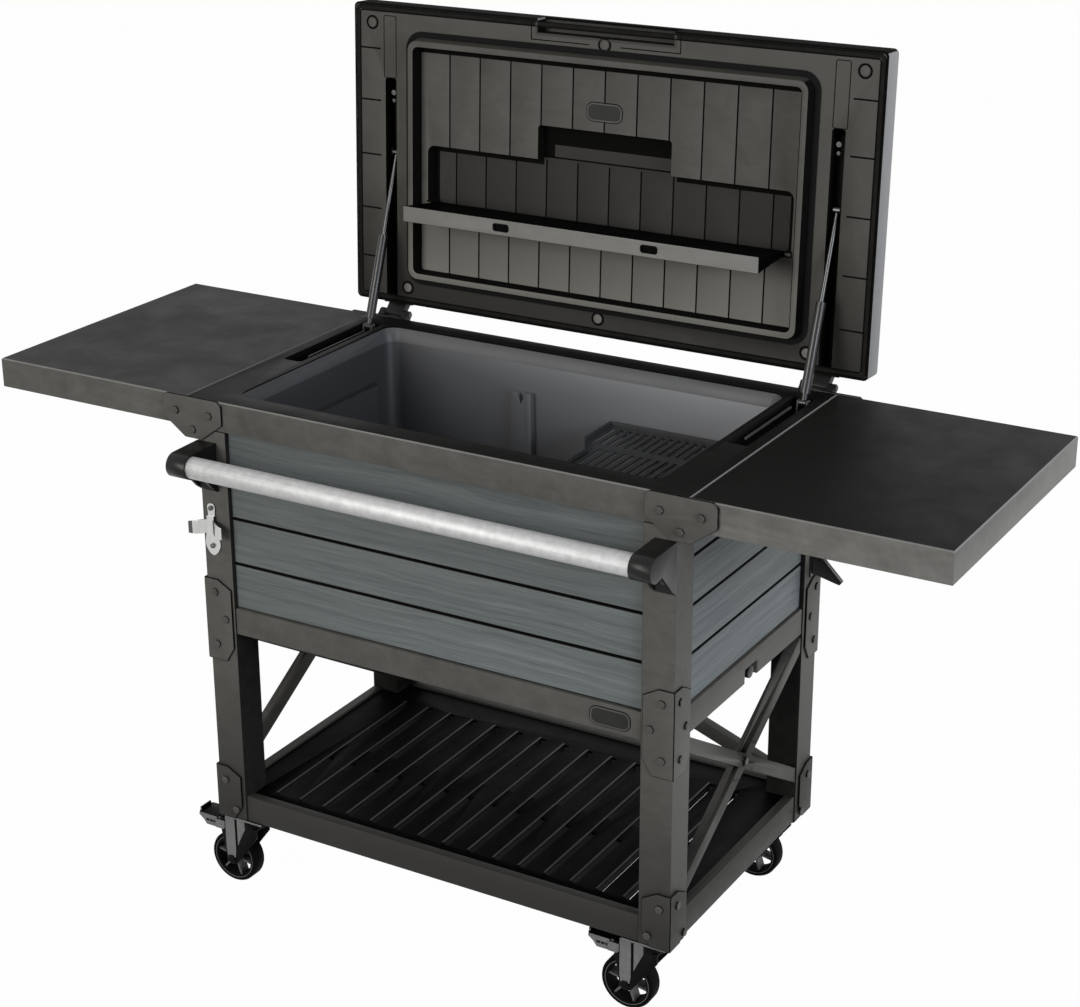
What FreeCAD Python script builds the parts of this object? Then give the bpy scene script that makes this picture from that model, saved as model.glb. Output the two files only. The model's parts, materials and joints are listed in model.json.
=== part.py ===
# Cooler table: an insulated tub in a wheeled post frame, with a hinged lid and two drop wings.
# Millimetres. Origin on the floor under the middle of the table, +Z up, front of the table at -Y.

import FreeCAD, Part
import math
import os

V = FreeCAD.Vector
X = V(1, 0, 0)
Y = V(0, 1, 0)
Z = V(0, 0, 1)

# Fits shared by all pieces
panel_gap = 0.3          # between panels that face each other
shaft_gap = 0.05         # round a pin or a bolt in its hole
sliding_gap = 0.1        # round the gas spring rods

# Table as a whole
table_height = 930.0
frame_length = 900.0     # over the outer faces of the legs, along X
frame_depth = 544.0      # over the outer faces of the legs, along Y
top_thickness = 52.0
deck_overhang = 20.0     # deck past the legs at each end
wing_length = 410.0
lid_open_angle = 92.3

# Posts and rails
caster_height = 143.0
leg_width = 57.0
leg_depth = 60.0
leg_flange = 18.0
edge_round = 2.0
rail_height = 50.0
rail_web = 18.0
rail_ledge = 20.0
rail_ledge_height = 29.0
rail_setback = 2.0
body_height = 421.0      # apron bottoms below the table surface
apron_height = 48.0
apron_ledge = 24.0
ledge_thickness = 4.0

# Cladding
plank_rows = 4
plank_thickness = 12.0
plank_setback = 8.0
plank_joint = 1.0
plank_bevel = 2.5
top_plank_trim = 9.0     # height of the top plank that the deck takes away

# Cooler body
tub_end_margin = 60.0    # tub's inside from the legs' outer faces, along X
tub_side_margin = 54.0   # the same along Y
tub_floor_rise = 41.0    # tub's floor above the base plate
tub_wall = 4.0
tub_corner = 22.0
tub_floor_round = 12.0
rim_flare = 7.0
rim_height = 23.0
rim_drop = 2.0           # rim below the deck surface
base_thickness = 6.0
pier_centre = -106.0
pier_width = 40.0
pier_depth = 14.0
pier_draft = 3.0
pier_drop = 75.0         # pier's top below the table surface
end_ledge_drop = 90.0
end_ledge_width = 14.0
end_ledge_short = 58.0   # the left ledge stops short of the back wall
tray_ledge_width = 16.0

# Tray that hangs at the right of the tub
tray_drop = 96.0         # tray's rim below the table surface
tray_length = 310.0
tray_notch_depth = 29.0  # hand notch in the tray's left edge
tray_right_gap = 5.0
tray_side_gap = 12.0
tray_step_inner = 60.0
tray_step_outer = 113.0
tray_rim = 8.0
tray_wall = 3.0
slot_pitch = 16.0
slot_width = 8.0
slot_row_count = 4
slot_row_gap = 22.0
slot_margin = 9.0        # slots from the tray's sides

# Deck
deck_lip = 7.0           # lip over the recessed deck end
lip_thickness = 25.0
top_bevel = 2.0
trough_width = 37.0
trough_end_inset = 2.0   # inside the legs' outer faces
trough_length = 256.0
trough_back_inset = 46.0
trough_depth = 25.0

# Wings
wing_seam = 1.0
wing_skin = 5.0
wing_side_gap = 0.6
wing_pivot_inset = 20.0  # pivot outboard of the wing's inner end
wing_pivot_drop = 27.0   # pivot below the table surface
wing_rib_place = 90.0
wing_rib_height = 20.0
latch_width = 48.0
latch_centre = -28.0     # along Y, clear of the drain when the wing hangs
latch_inset = 34.0       # latch pivot inboard of the wing's outer edge
latch_drop = 38.0        # latch pivot below the table surface
latch_pin = 3.0

# Hinge plates between deck and wings
plate_thickness = 4.0
plate_reach = 54.0       # inboard of the legs' outer faces
plate_end = 27.0         # past the wing's pivot
plate_foot_inset = 10.0
plate_foot_width = 34.0
plate_foot_drop = 72.0   # plate's foot below the table surface
plate_shoulder_drop = 40.0
plate_corner_cut = 8.0
pivot_radius = 5.0
deck_bolt_inset = 26.0

# Bolt heads
bolt_radius = 7.4        # over the corners
bolt_height = 4.0
bolt_crown = 1.4
bolt_crown_share = 0.78  # crown's reach over the head's

# Corner plates, as pairs of distance from the corner and height
gusset_thickness = 3.5
gusset_below_apron = 55.0
gusset_above_apron = 50.0
lower_gusset_height = 103.0
gusset_reach = 53.0
gusset_chamfer = 28.0
lower_gusset_reach = 50.0

# Braces
brace_width = 25.0
brace_depth = 20.0
brace_top_drop = 20.5    # end brace's bar ends below the aprons
brace_foot_rise = 42.5   # and above the rails

# Lower shelf
shelf_thickness = 6.0
shelf_skirt = 4.0
shelf_top_drop = 4.0     # shelf surface below the rail tops
shelf_slot_pitch = 50.0
shelf_slot_width = 10.0
shelf_front_margin = 17.0    # front row of slots past the legs' inner faces
shelf_back_margin = 24.0     # back row short of the legs' inner faces
shelf_band_front = -68.0     # plain band between the rows, along Y
shelf_band_back = -15.0
shelf_rib_height = 2.0
shelf_rib_width = 4.0
shelf_slot_wall = 3.0    # how far the ribs reach below the shelf's plate

# Push handle
handle_reach = 66.0      # tube's axis in front of the legs
handle_drop = 96.0       # and below the table surface
handle_radius = 18.5
handle_wall = 2.0
collar_radius = 21.0
collar_length = 38.0
collar_end = 1.0         # past the legs' outer faces
tube_seat = 10.0         # how far the tube reaches into each collar
handle_foot_rise = 22.0  # foot's top above the tube's axis
handle_foot_length = 88.0
handle_foot_thickness = 6.0

# Lid
lid_overhang = 43.0      # past the deck ends
lid_front_setback = 0.5  # behind the legs' front faces
lid_gap = 3.0            # over the deck surface
lid_thickness = 43.0
lid_wall = 4.0
lid_corner = 9.0
liner_thickness = 9.0
plug_end_clearance = 8.0     # plug frame inside the tub's rim
plug_side_clearance = 9.0
plug_height = 20.0
plug_frame = 14.0
plug_slope = 4.0
panel_recess = 6.0
panel_boards = 12
groove_width = 3.0
groove_depth = 1.2
pocket_end_margin = 16.0     # pocket inside the plug frame
pocket_back_margin = 121.0
pocket_height = 112.0
pocket_depth = 23.0
pocket_corner = 14.0
pocket_notch_half = 131.0
pocket_notch_height = 60.0
housing_wall = 3.0       # behind the pocket, the slots and the grip
grip_half_length = 132.0
grip_depth = 24.0
grip_height = 26.0
seal_width = 10.0
seal_thickness = 2.7
slot_inner_reach = 11.0  # lid's slot inboard of the spring
slot_outer_reach = 13.0
slot_back_inset = 10.0
lid_slot_length = 403.0
slot_depth = 28.0
button_radius = 8.0
button_height = 1.2
button_end_inset = 39.0
button_pair_inset = 113.0
button_front_inset = 34.0
button_back_inset = 32.0

# Shelf in the lid
lid_shelf_end_gap = 13.0
lid_shelf_depth = 100.0
lid_shelf_plate = 6.0
lid_shelf_axis_drop = 6.0    # from the pocket's upper side
lid_shelf_axis_inset = 2.0
lid_shelf_lip = 28.0
lid_shelf_pin = 3.0
lid_shelf_boss = 6.0

# Lid hinges
lid_axis_setback = 20.0  # behind the legs' back faces
lid_axis_rise = 2.0      # over the table surface
knuckle_radius = 7.0
lid_pin_radius = 3.0
lid_hinge_inset = 23.0   # inboard of the legs' outer faces
lid_hinge_half = 31.0
side_knuckle = 12.0
leaf_thickness = 4.0

# Gas springs
spring_inset = 16.0      # inboard of the legs' outer faces
spring_foot_inset = 12.0 # in front of the trough's back end
spring_foot_drop = 4.0
spring_head_reach = 297.0    # in front of the lid's axis, lid closed
spring_head_rise = 18.0      # above the lid's axis
spring_body_radius = 8.5
spring_rod_radius = 4.0
spring_body_start = 16.0
spring_body_end = 168.0
spring_rod_inside = 40.0
spring_eye_radius = 6.5
spring_eye_width = 12.0
spring_pin_radius = 3.0
ear_thickness = 3.0
ear_gap = 1.0
head_clearance = 0.4
head_plate_reach = 122.0 # upper bracket's plate in front of the socket
head_screw_reach = 108.0

# Casters
caster_end_inset = 46.5
caster_side_inset = 31.0
caster_plate_length = 90.0
caster_plate_width = 62.0
caster_plate_thickness = 4.0
caster_race_radius = 24.0
caster_race_height = 2.0
swivel_gap = 0.5
kingpin_radius = 6.0
fork_crown_drop = 25.0   # crown's underside below the caster's plate top
fork_crown_thickness = 4.0
fork_cup_radius = 22.0
fork_cheek_inner = 17.0
fork_cheek_thickness = 3.0
caster_trail = 38.5
wheel_radius = 48.0
wheel_width = 30.0
tyre_thickness = 11.0
tyre_chamfer = 3.0
wheel_hub_radius = 12.0
wheel_spokes = 6
axle_radius = 5.0
pedal_pivot_x = -56.0
pedal_pivot_rise = 1.0   # above the crown's underside
pedal_pin = 3.0
pedal_length = 54.0
pedal_width = 40.0
pedal_thickness = 3.0
pedal_flange = 18.0      # depth of the pedal's folded sides

# Drain
drain_y = 12.0
drain_rise = 12.5        # above the aprons' bottoms
drain_radius = 8.5
drain_bore = 6.0
drain_sump_inset = 18.0  # inside the tub's end wall
notch_half_width = 23.0
notch_height = 25.0
drain_setback = 8.0      # spout end inside the leg faces
cap_radius = 11.0
cap_length = 11.0
cap_flat_depth = 0.6

# Catches that hold the folded wings
catch_height = 44.0
catch_reach = 56.0
catch_drop = 12.0
catch_tip = 4.0
catch_throat = 20.0
catch_throat_rise = 30.0
catch_thickness = 10.0
catch_inset = 22.0
catch_foot_margin = 10.0
catch_foot_thickness = 3.0
catch_gap = 6.0          # above the corner plate

# Opener
opener_inset = 20.0      # inboard of the leg's outer face
opener_drop = 184.0      # below the table surface
opener_height = 94.0
opener_thickness = 3.0

# Places that follow from the sizes above
half_length = frame_length / 2
half_depth = frame_depth / 2
leg_in_x = half_length - leg_width
leg_in_y = half_depth - leg_depth
deck_bottom = table_height - top_thickness
apron_bottom = table_height - body_height
apron_top = apron_bottom + apron_height
ledge_top = apron_bottom + ledge_thickness
rail_top = caster_height + rail_height
deck_half = half_length + deck_overhang
brace_rise = apron_bottom - brace_top_drop - rail_top - brace_foot_rise
brace_centre = rail_top + brace_foot_rise + brace_rise / 2
shelf_front_row = (-leg_in_y - shelf_front_margin, shelf_band_front)
shelf_back_row = (shelf_band_back, leg_in_y - shelf_back_margin)
upper_gusset_bottom = apron_bottom - gusset_below_apron
upper_gusset_top = apron_top + gusset_above_apron
lower_gusset_top = caster_height + lower_gusset_height
plank_face_x = half_length - plank_setback
plank_face_y = half_depth - plank_setback
core_half_x = plank_face_x - plank_thickness
core_half_y = plank_face_y - plank_thickness
base_top = ledge_top + base_thickness
tub_half_length = half_length - tub_end_margin
tub_half_depth = half_depth - tub_side_margin
tub_floor = base_top + tub_floor_rise
pier_top = table_height - pier_drop
end_ledge_top = table_height - end_ledge_drop
end_ledge_stop = tub_half_depth - end_ledge_short
rim_top = table_height - rim_drop
rim_half_x = tub_half_length + rim_flare + 1.0
rim_half_y = tub_half_depth + rim_flare + 3.0
rim_corner = tub_corner + 3.0
lip_bottom = table_height - lip_thickness
wing_start = deck_half + wing_seam
wing_end = wing_start + wing_length
wing_side = half_depth - wing_side_gap
wing_pivot_x = wing_start + wing_pivot_inset
wing_pivot_z = table_height - wing_pivot_drop
plate_inner_x = half_length - plate_reach
plate_outer_x = wing_pivot_x + plate_end
plate_foot_inner = half_length - plate_foot_inset
plate_foot_outer = plate_foot_inner + plate_foot_width
plate_bottom = table_height - plate_foot_drop
plate_shoulder = table_height - plate_shoulder_drop
deck_bolt_x = plate_inner_x + deck_bolt_inset
foot_bolt_x = plate_foot_inner + plate_foot_width / 2
foot_bolt_z = (plate_bottom + plate_shoulder) / 2
trough_outer = half_length - trough_end_inset
trough_inner = trough_outer - trough_width
trough_back = half_depth - trough_back_inset
trough_front = trough_back - trough_length
handle_axis_y = -half_depth - handle_reach
handle_axis_z = table_height - handle_drop
handle_foot_top = handle_axis_z + handle_foot_rise
handle_foot_bottom = handle_foot_top - handle_foot_length
collar_outer = half_length + collar_end
collar_inner = collar_outer - collar_length
lid_half = deck_half + lid_overhang
lid_front = -half_depth + lid_front_setback
lid_back = half_depth
lid_bottom = table_height + lid_gap
lid_top = lid_bottom + lid_thickness
lid_axis_y = half_depth + lid_axis_setback
lid_axis_z = table_height + lid_axis_rise
lid_hinge_centre = half_length - lid_hinge_inset
plug_half_length = rim_half_x - plug_end_clearance
plug_half_depth = rim_half_y - plug_side_clearance
panel_z = lid_bottom + panel_recess
pocket_half_length = plug_half_length - plug_frame - pocket_end_margin
pocket_back = plug_half_depth - plug_frame - pocket_back_margin
pocket_front = pocket_back - pocket_height
pocket_notch_front = pocket_front - pocket_notch_height
lid_shelf_half = pocket_half_length - lid_shelf_end_gap
lid_shelf_axis_y = pocket_back - lid_shelf_axis_drop
spring_x = half_length - spring_inset
spring_foot_y = trough_back - spring_foot_inset
spring_foot_z = table_height - spring_foot_drop
spring_head_y = lid_axis_y - spring_head_reach
spring_head_z = lid_axis_z + spring_head_rise
slot_inner = spring_x - slot_inner_reach
slot_outer = spring_x + slot_outer_reach
slot_back = lid_back - slot_back_inset
slot_front = slot_back - lid_slot_length
latch_axis_z = table_height - latch_drop
tray_top = table_height - tray_drop
tray_bottom = tray_top - tray_rim - tray_wall
tray_right = tub_half_length - tray_right_gap
tray_left = tray_right - tray_length
tray_middle_left = tray_left + tray_notch_depth
tray_half_depth = tub_half_depth - tray_side_gap
slot_length = (2 * (tray_half_depth - slot_margin) + slot_row_gap) / slot_row_count - slot_row_gap
slot_row_pitch = slot_length + slot_row_gap
slot_rows = [(row - (slot_row_count - 1) / 2) * slot_row_pitch for row in range(slot_row_count)]
caster_x = half_length - caster_end_inset
caster_y = half_depth - caster_side_inset
caster_plate_bottom = caster_height - caster_plate_thickness
fork_crown_bottom = caster_height - fork_crown_drop
pedal_pivot_z = fork_crown_bottom + pedal_pivot_rise
drain_axis_z = apron_bottom + drain_rise
drain_sump_x = tub_half_length - drain_sump_inset
opener_x = -half_length + opener_inset
opener_top = table_height - opener_drop
opener_bottom = opener_top - opener_height


def block(x, y, z):
    # box between two limits on each axis
    low = V(min(x), min(y), min(z))
    return Part.makeBox(max(x) - low.x, max(y) - low.y, max(z) - low.z, low)


def plate(outline, axis, low, high):
    # outline of (u, v) points, thick along the axis: x takes (y, z), y takes (x, z), z takes (x, y)
    place = {
        "x": lambda u, v: V(low, u, v),
        "y": lambda u, v: V(u, low, v),
        "z": lambda u, v: V(u, v, low),
    }[axis]
    way = {"x": X, "y": Y, "z": Z}[axis]
    corners = [place(u, v) for u, v in outline]
    wire = Part.makePolygon(corners + [corners[0]])
    return Part.Face(wire).extrude(way * (high - low))


def round_bar(start, end, radius):
    way = end - start
    return Part.makeCylinder(radius, way.Length, start, way)


def bar_x(x, y, z, radius):
    return round_bar(V(min(x), y, z), V(max(x), y, z), radius)


def bar_y(x, y, z, radius):
    return round_bar(V(x, min(y), z), V(x, max(y), z), radius)


def bar_z(x, y, z, radius):
    return round_bar(V(x, y, min(z)), V(x, y, max(z)), radius)


def both_sides(half):
    return (-half, half)


def edges_along(shape, axis, chosen=lambda middle: True):
    way = {"x": X, "y": Y, "z": Z}[axis]
    found = []
    for edge in shape.Edges:
        if len(edge.Vertexes) < 2:
            continue
        line = edge.Vertexes[1].Point - edge.Vertexes[0].Point
        straight = abs(edge.Length - line.Length) < 1e-6
        if straight and line.cross(way).Length < 1e-6 and chosen((edge.Vertexes[0].Point + line * 0.5)):
            found.append(edge)
    return found


def rounded_block(x, y, z, radius):
    shape = block(x, y, z)
    return shape.makeFillet(radius, edges_along(shape, "z"))


def joined(shapes):
    first = shapes[0]
    return first.multiFuse(shapes[1:]).removeSplitter()


def in_x(shape):
    return shape.mirror(V(0, 0, 0), X)


def in_y(shape):
    return shape.mirror(V(0, 0, 0), Y)


def both_ends(shape):
    return [shape, in_x(shape)]


def four_corners(shape):
    return both_ends(shape) + both_ends(in_y(shape))


def opened(shape):
    # from the closed lid's place to its open place
    turned = shape.copy()
    turned.rotate(V(0, lid_axis_y, lid_axis_z), X, -lid_open_angle)
    return turned


def save(node, shapes):
    solids = [solid for shape in shapes for solid in shape.Solids]
    piece = solids[0] if len(solids) == 1 else Part.makeCompound(solids)
    piece.exportStep("parts/" + node + ".step")


def polygon_face(points):
    return Part.Face(Part.makePolygon(points + points[:1]))


def bolt_head(at, outward, radius=bolt_radius, height=bolt_height):
    # hexagon head with a sloped crown, that sits on the face at the given point
    across = V(outward.y, outward.z, outward.x)
    beside = outward.cross(across)

    def hexagon(reach, rise):
        turns = [math.pi * i / 3 for i in range(6)]
        return [at + outward * rise + across * (reach * math.cos(a)) + beside * (reach * math.sin(a))
                for a in turns]

    levels = [hexagon(radius, 0), hexagon(radius, height - bolt_crown),
              hexagon(radius * bolt_crown_share, height)]
    faces = [polygon_face(levels[0]), polygon_face(levels[-1])]
    for low, high in zip(levels, levels[1:]):
        for i in range(6):
            faces.append(polygon_face([low[i - 1], low[i], high[i], high[i - 1]]))
    return Part.Solid(Part.Shell(faces))


def leg():
    # back right post: a full section below, an angle beside the cooler body
    post = block((leg_in_x, half_length), (leg_in_y, half_depth), (caster_height, deck_bottom))
    post = post.makeFillet(edge_round, edges_along(post, "z"))
    flange_x = half_length - leg_flange
    flange_y = half_depth - leg_flange
    rebate = block((leg_in_x - 1, flange_x), (leg_in_y - 1, flange_y), (apron_bottom, deck_bottom + 1))
    return post.cut(rebate)


def lower_rails():
    low = caster_height
    face_y = half_depth - rail_setback
    web_y = face_y - rail_web
    ledge_z = low + rail_ledge_height
    outline = [(face_y, low), (face_y, rail_top), (web_y, rail_top), (web_y, ledge_z),
               (web_y - rail_ledge, ledge_z), (web_y - rail_ledge, low)]
    long_rail = plate(outline, "x", -leg_in_x, leg_in_x)
    face_x = half_length - rail_setback
    web_x = face_x - rail_web
    outline = [(face_x, low), (face_x, rail_top), (web_x, rail_top), (web_x, ledge_z),
               (web_x - rail_ledge, ledge_z), (web_x - rail_ledge, low)]
    end_rail = plate(outline, "y", -leg_in_y, leg_in_y)
    return [long_rail, in_y(long_rail)] + both_ends(end_rail)


def lower_shelf():
    # one slotted moulding that fills the frame and is notched round the legs
    top = rail_top - shelf_top_drop
    under = top - shelf_thickness
    low = caster_height + rail_ledge_height
    half_x = half_length - rail_setback - rail_web - panel_gap
    half_y = half_depth - rail_setback - rail_web - panel_gap
    near_x = leg_in_x - panel_gap
    near_y = leg_in_y - panel_gap
    sheet = joined([block((-half_x, half_x), (-near_y, near_y), (low, top)),
                    block((-near_x, near_x), (-half_y, half_y), (low, top))])
    hollow = joined([
        block((-half_x + shelf_skirt, half_x - shelf_skirt),
              (-near_y + shelf_skirt, near_y - shelf_skirt), (low - 1, under)),
        block((-near_x + shelf_skirt, near_x - shelf_skirt),
              (-half_y + shelf_skirt, half_y - shelf_skirt), (low - 1, under)),
    ])
    sheet = sheet.cut(hollow)
    half_slot = shelf_slot_width / 2
    count = int((near_x - shelf_slot_width) // shelf_slot_pitch)
    ribs = []
    slots = []
    for i in range(-count, count + 1):
        x = i * shelf_slot_pitch
        for row in (shelf_front_row, shelf_back_row):
            slots.append(block((x - half_slot, x + half_slot), row, (under - 1, top + 5)))
        rib_x = x - half_slot - shelf_rib_width
        ribs.append(block((rib_x, rib_x + shelf_rib_width), (shelf_front_row[0], shelf_back_row[1]),
                          (under - shelf_slot_wall, top + shelf_rib_height)))
    cross_rib_y = (shelf_front_row[1] + shelf_back_row[0]) / 2
    stiffener = block((-half_x, half_x), (cross_rib_y - 2, cross_rib_y + 2), (low, under))
    return [joined([sheet, stiffener] + ribs).cut(Part.makeCompound(slots))]


def long_apron(side):
    face = half_depth - rail_setback
    web = face - leg_flange
    outline = [(face, apron_bottom), (face, apron_top), (web, apron_top), (web, ledge_top),
               (web - apron_ledge, ledge_top), (web - apron_ledge, apron_bottom)]
    apron = plate(outline, "x", -leg_in_x, leg_in_x)
    return apron if side > 0 else in_y(apron)


def drain_notch(height):
    return block((drain_sump_x - 30, half_length + 5),
                 (drain_y - notch_half_width, drain_y + notch_half_width),
                 (apron_bottom - 1, apron_bottom + height))


def end_aprons():
    face = half_length - rail_setback
    web = face - leg_flange
    outline = [(face, apron_bottom), (face, apron_top), (web, apron_top), (web, ledge_top),
               (web - apron_ledge, ledge_top), (web - apron_ledge, apron_bottom)]
    apron = plate(outline, "y", -leg_in_y, leg_in_y)
    return [apron.cut(drain_notch(notch_height)), in_x(apron)]


def planks(along, half_run, face, inner):
    # four bevelled boards, one above the other, on the face towards +Y or +X
    pitch = (deck_bottom - apron_top + top_plank_trim) / plank_rows
    boards = []
    for row in range(plank_rows):
        low = apron_top + row * pitch + (plank_joint if row else 0)
        high = min(apron_top + (row + 1) * pitch, deck_bottom - panel_gap)
        outline = [(inner, low), (face - plank_bevel, low), (face, low + plank_bevel),
                   (face, high - plank_bevel), (face - plank_bevel, high), (inner, high)]
        boards.append(plate(outline, along, -half_run, half_run))
    return boards


def body_base():
    base = block((-core_half_x, core_half_x), (-core_half_y, core_half_y), (ledge_top, base_top))
    return [base.cut(drain_notch(base_top - apron_bottom + 1))]


def tub_outside(margin):
    # the liner's outer form, with a shoulder under the rim, grown by the margin
    x = tub_half_length + tub_wall + margin
    y = tub_half_depth + tub_wall + margin
    bottom = tub_floor - tub_wall - margin
    round_off = tub_corner + tub_wall + margin
    well = rounded_block((-x, x), (-y, y), (bottom, deck_bottom + 1), round_off)
    rim = rounded_block(both_sides(rim_half_x + margin), both_sides(rim_half_y + margin),
                        (deck_bottom, rim_top), rim_corner + margin)
    return well, rim


def rounded_rectangle(half_x, half_y, radius, z):
    corners = []
    for sx, sy, turn in ((1, 1, 0), (-1, 1, 90), (-1, -1, 180), (1, -1, 270)):
        centre = V(sx * (half_x - radius), sy * (half_y - radius), z)
        points = [centre + V(math.cos(math.radians(turn + a)), math.sin(math.radians(turn + a)), 0) * radius
                  for a in (0, 45, 90)]
        corners.append(points)
    edges = []
    for here, after in zip(corners, corners[1:] + corners[:1]):
        edges.append(Part.Arc(*here).toShape())
        edges.append(Part.LineSegment(here[2], after[0]).toShape())
    return Part.Wire(edges)


def tub():
    well, rim = tub_outside(0)
    shell = joined([well, rim])
    flare_bottom = rim_top - rim_height
    inside = rounded_block((-tub_half_length, tub_half_length), (-tub_half_depth, tub_half_depth),
                           (tub_floor, flare_bottom), tub_corner)
    floor_edges = [edge for edge in inside.Edges if abs(edge.BoundBox.ZMax - tub_floor) < 0.01]
    inside = inside.makeFillet(tub_floor_round, floor_edges)
    flare = Part.makeLoft([rounded_rectangle(tub_half_length, tub_half_depth, tub_corner, flare_bottom),
                           rounded_rectangle(rim_half_x - 1, rim_half_y - 1, rim_corner - 1, rim_top)],
                          True, True)
    shell = shell.cut(inside).cut(flare)
    fittings = [piece.common(well) for piece in (tub_pier(), left_ledge())]
    sump = bar_z(drain_sump_x, drain_y, (tub_floor - tub_wall - 1, tub_floor + 1), drain_radius + shaft_gap)
    return [joined([shell] + fittings).cut(sump), tray_ledge().common(inside)]


def tub_pier():
    # pier on the back wall with a notched head that takes a divider
    left = pier_centre - pier_width / 2
    right = pier_centre + pier_width / 2
    wall = tub_half_depth + tub_wall / 2

    def section(draft, z):
        front = wall - pier_depth - draft
        corners = [V(left - draft, wall, z), V(left - draft, front, z), V(right + draft, front, z),
                   V(right + draft, wall, z)]
        return Part.makePolygon(corners + [corners[0]])

    pier = Part.makeLoft([section(pier_draft, tub_floor - 1), section(0, pier_top)], True, True)
    notch_width = pier_width * 0.22
    notch = plate([(pier_centre - notch_width, pier_top + 1), (pier_centre, pier_top - notch_width * 2.5),
                   (pier_centre + notch_width, pier_top + 1)],
                  "y", wall - pier_depth - pier_draft - 1, wall - tub_wall)
    return pier.cut(notch)


def left_ledge():
    outer = -(tub_half_length + tub_wall / 2)
    inner = -(tub_half_length - end_ledge_width)
    front = -(tub_half_depth + tub_wall / 2)
    ledge = block((outer, inner), (front, end_ledge_stop), (tub_floor - 1, end_ledge_top))
    corner = edges_along(ledge, "z", lambda m: m.x > inner - 1 and m.y > end_ledge_stop - 1)
    return ledge.makeFillet(end_ledge_width * 0.7, corner)


def tray_ledge():
    # rail bonded round the right end of the tub that the tray hangs on
    outer_x = tub_half_length + tub_wall / 2
    outer_y = tub_half_depth + tub_wall / 2
    inner_x = tub_half_length - tray_ledge_width
    inner_y = tub_half_depth - tray_ledge_width
    left = (tray_left + tray_middle_left) / 2
    depth = tray_ledge_width
    whole = block((left, outer_x), (-outer_y, outer_y), (tray_bottom - depth, tray_bottom))
    centre = block((left - 1, inner_x), (-inner_y, inner_y), (tray_bottom - depth - 1, tray_bottom + 1))
    return whole.cut(centre)


def insulation():
    # foam block between the tub and the cladding, with a channel for the drain
    core = block(both_sides(core_half_x), both_sides(core_half_y), (base_top, deck_bottom))
    grown = tub_wall + panel_gap
    cavity = rounded_block(both_sides(tub_half_length + grown), both_sides(tub_half_depth + grown),
                           (tub_floor - tub_wall, deck_bottom + 1), tub_corner + grown)
    reach = drain_radius + 1
    channel = block((drain_sump_x - reach, core_half_x + 1), (drain_y - reach, drain_y + reach),
                    (base_top - 1, drain_axis_z + reach))
    sump = bar_z(drain_sump_x, drain_y, (base_top - 1, tub_floor), reach)
    return [core.cut(cavity).cut(channel).cut(sump)]


def tray_outline(inset):
    left = tray_left + inset
    middle = tray_middle_left + inset
    right = tray_right - inset
    side = tray_half_depth - inset
    return [(right, -side), (right, side), (left, side), (left, tray_step_outer), (middle, tray_step_inner),
            (middle, -tray_step_inner), (left, -tray_step_outer), (left, -side)]


def tub_tray():
    # perforated floor and the rim that stands on its edge
    floor_top = tray_bottom + tray_wall
    floor = plate(tray_outline(0), "z", tray_bottom, floor_top)
    rim = plate(tray_outline(0), "z", floor_top, tray_top)
    rim = rim.cut(plate(tray_outline(tray_wall), "z", floor_top - 1, tray_top + 1))
    cuts = []
    for row in slot_rows:
        left = tray_left if abs(row) > tray_step_outer else tray_middle_left
        x = left + tray_wall + slot_width * 1.6
        while x < tray_right - tray_wall - slot_width:
            cuts.append(block((x - slot_width / 2, x + slot_width / 2),
                              (row - slot_length / 2, row + slot_length / 2),
                              (tray_bottom - 1, floor_top + 1)))
            x += slot_pitch
    return [floor.cut(Part.makeCompound(cuts)), rim]


def top_frame():
    # deck with the tub opening and a trough at each end for a gas spring
    recessed = deck_half - deck_lip
    deck = joined([block((-recessed, recessed), (-half_depth, half_depth), (deck_bottom, table_height)),
                   block((-deck_half, deck_half), (-half_depth, half_depth), (lip_bottom, table_height))])
    on_top = [edge for edge in deck.Edges if edge.BoundBox.ZMin > table_height - 0.01]
    deck = deck.makeChamfer(top_bevel, on_top)
    opening = rounded_block((-rim_half_x - panel_gap, rim_half_x + panel_gap),
                            (-rim_half_y - panel_gap, rim_half_y + panel_gap),
                            (deck_bottom - 1, table_height + 1), rim_corner + panel_gap)
    trough = rounded_block((trough_inner, trough_outer), (trough_front, trough_back),
                           (table_height - trough_depth, table_height + 1), 6.0)
    return [deck.cut(opening).cut(trough).cut(in_x(trough))]


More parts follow.
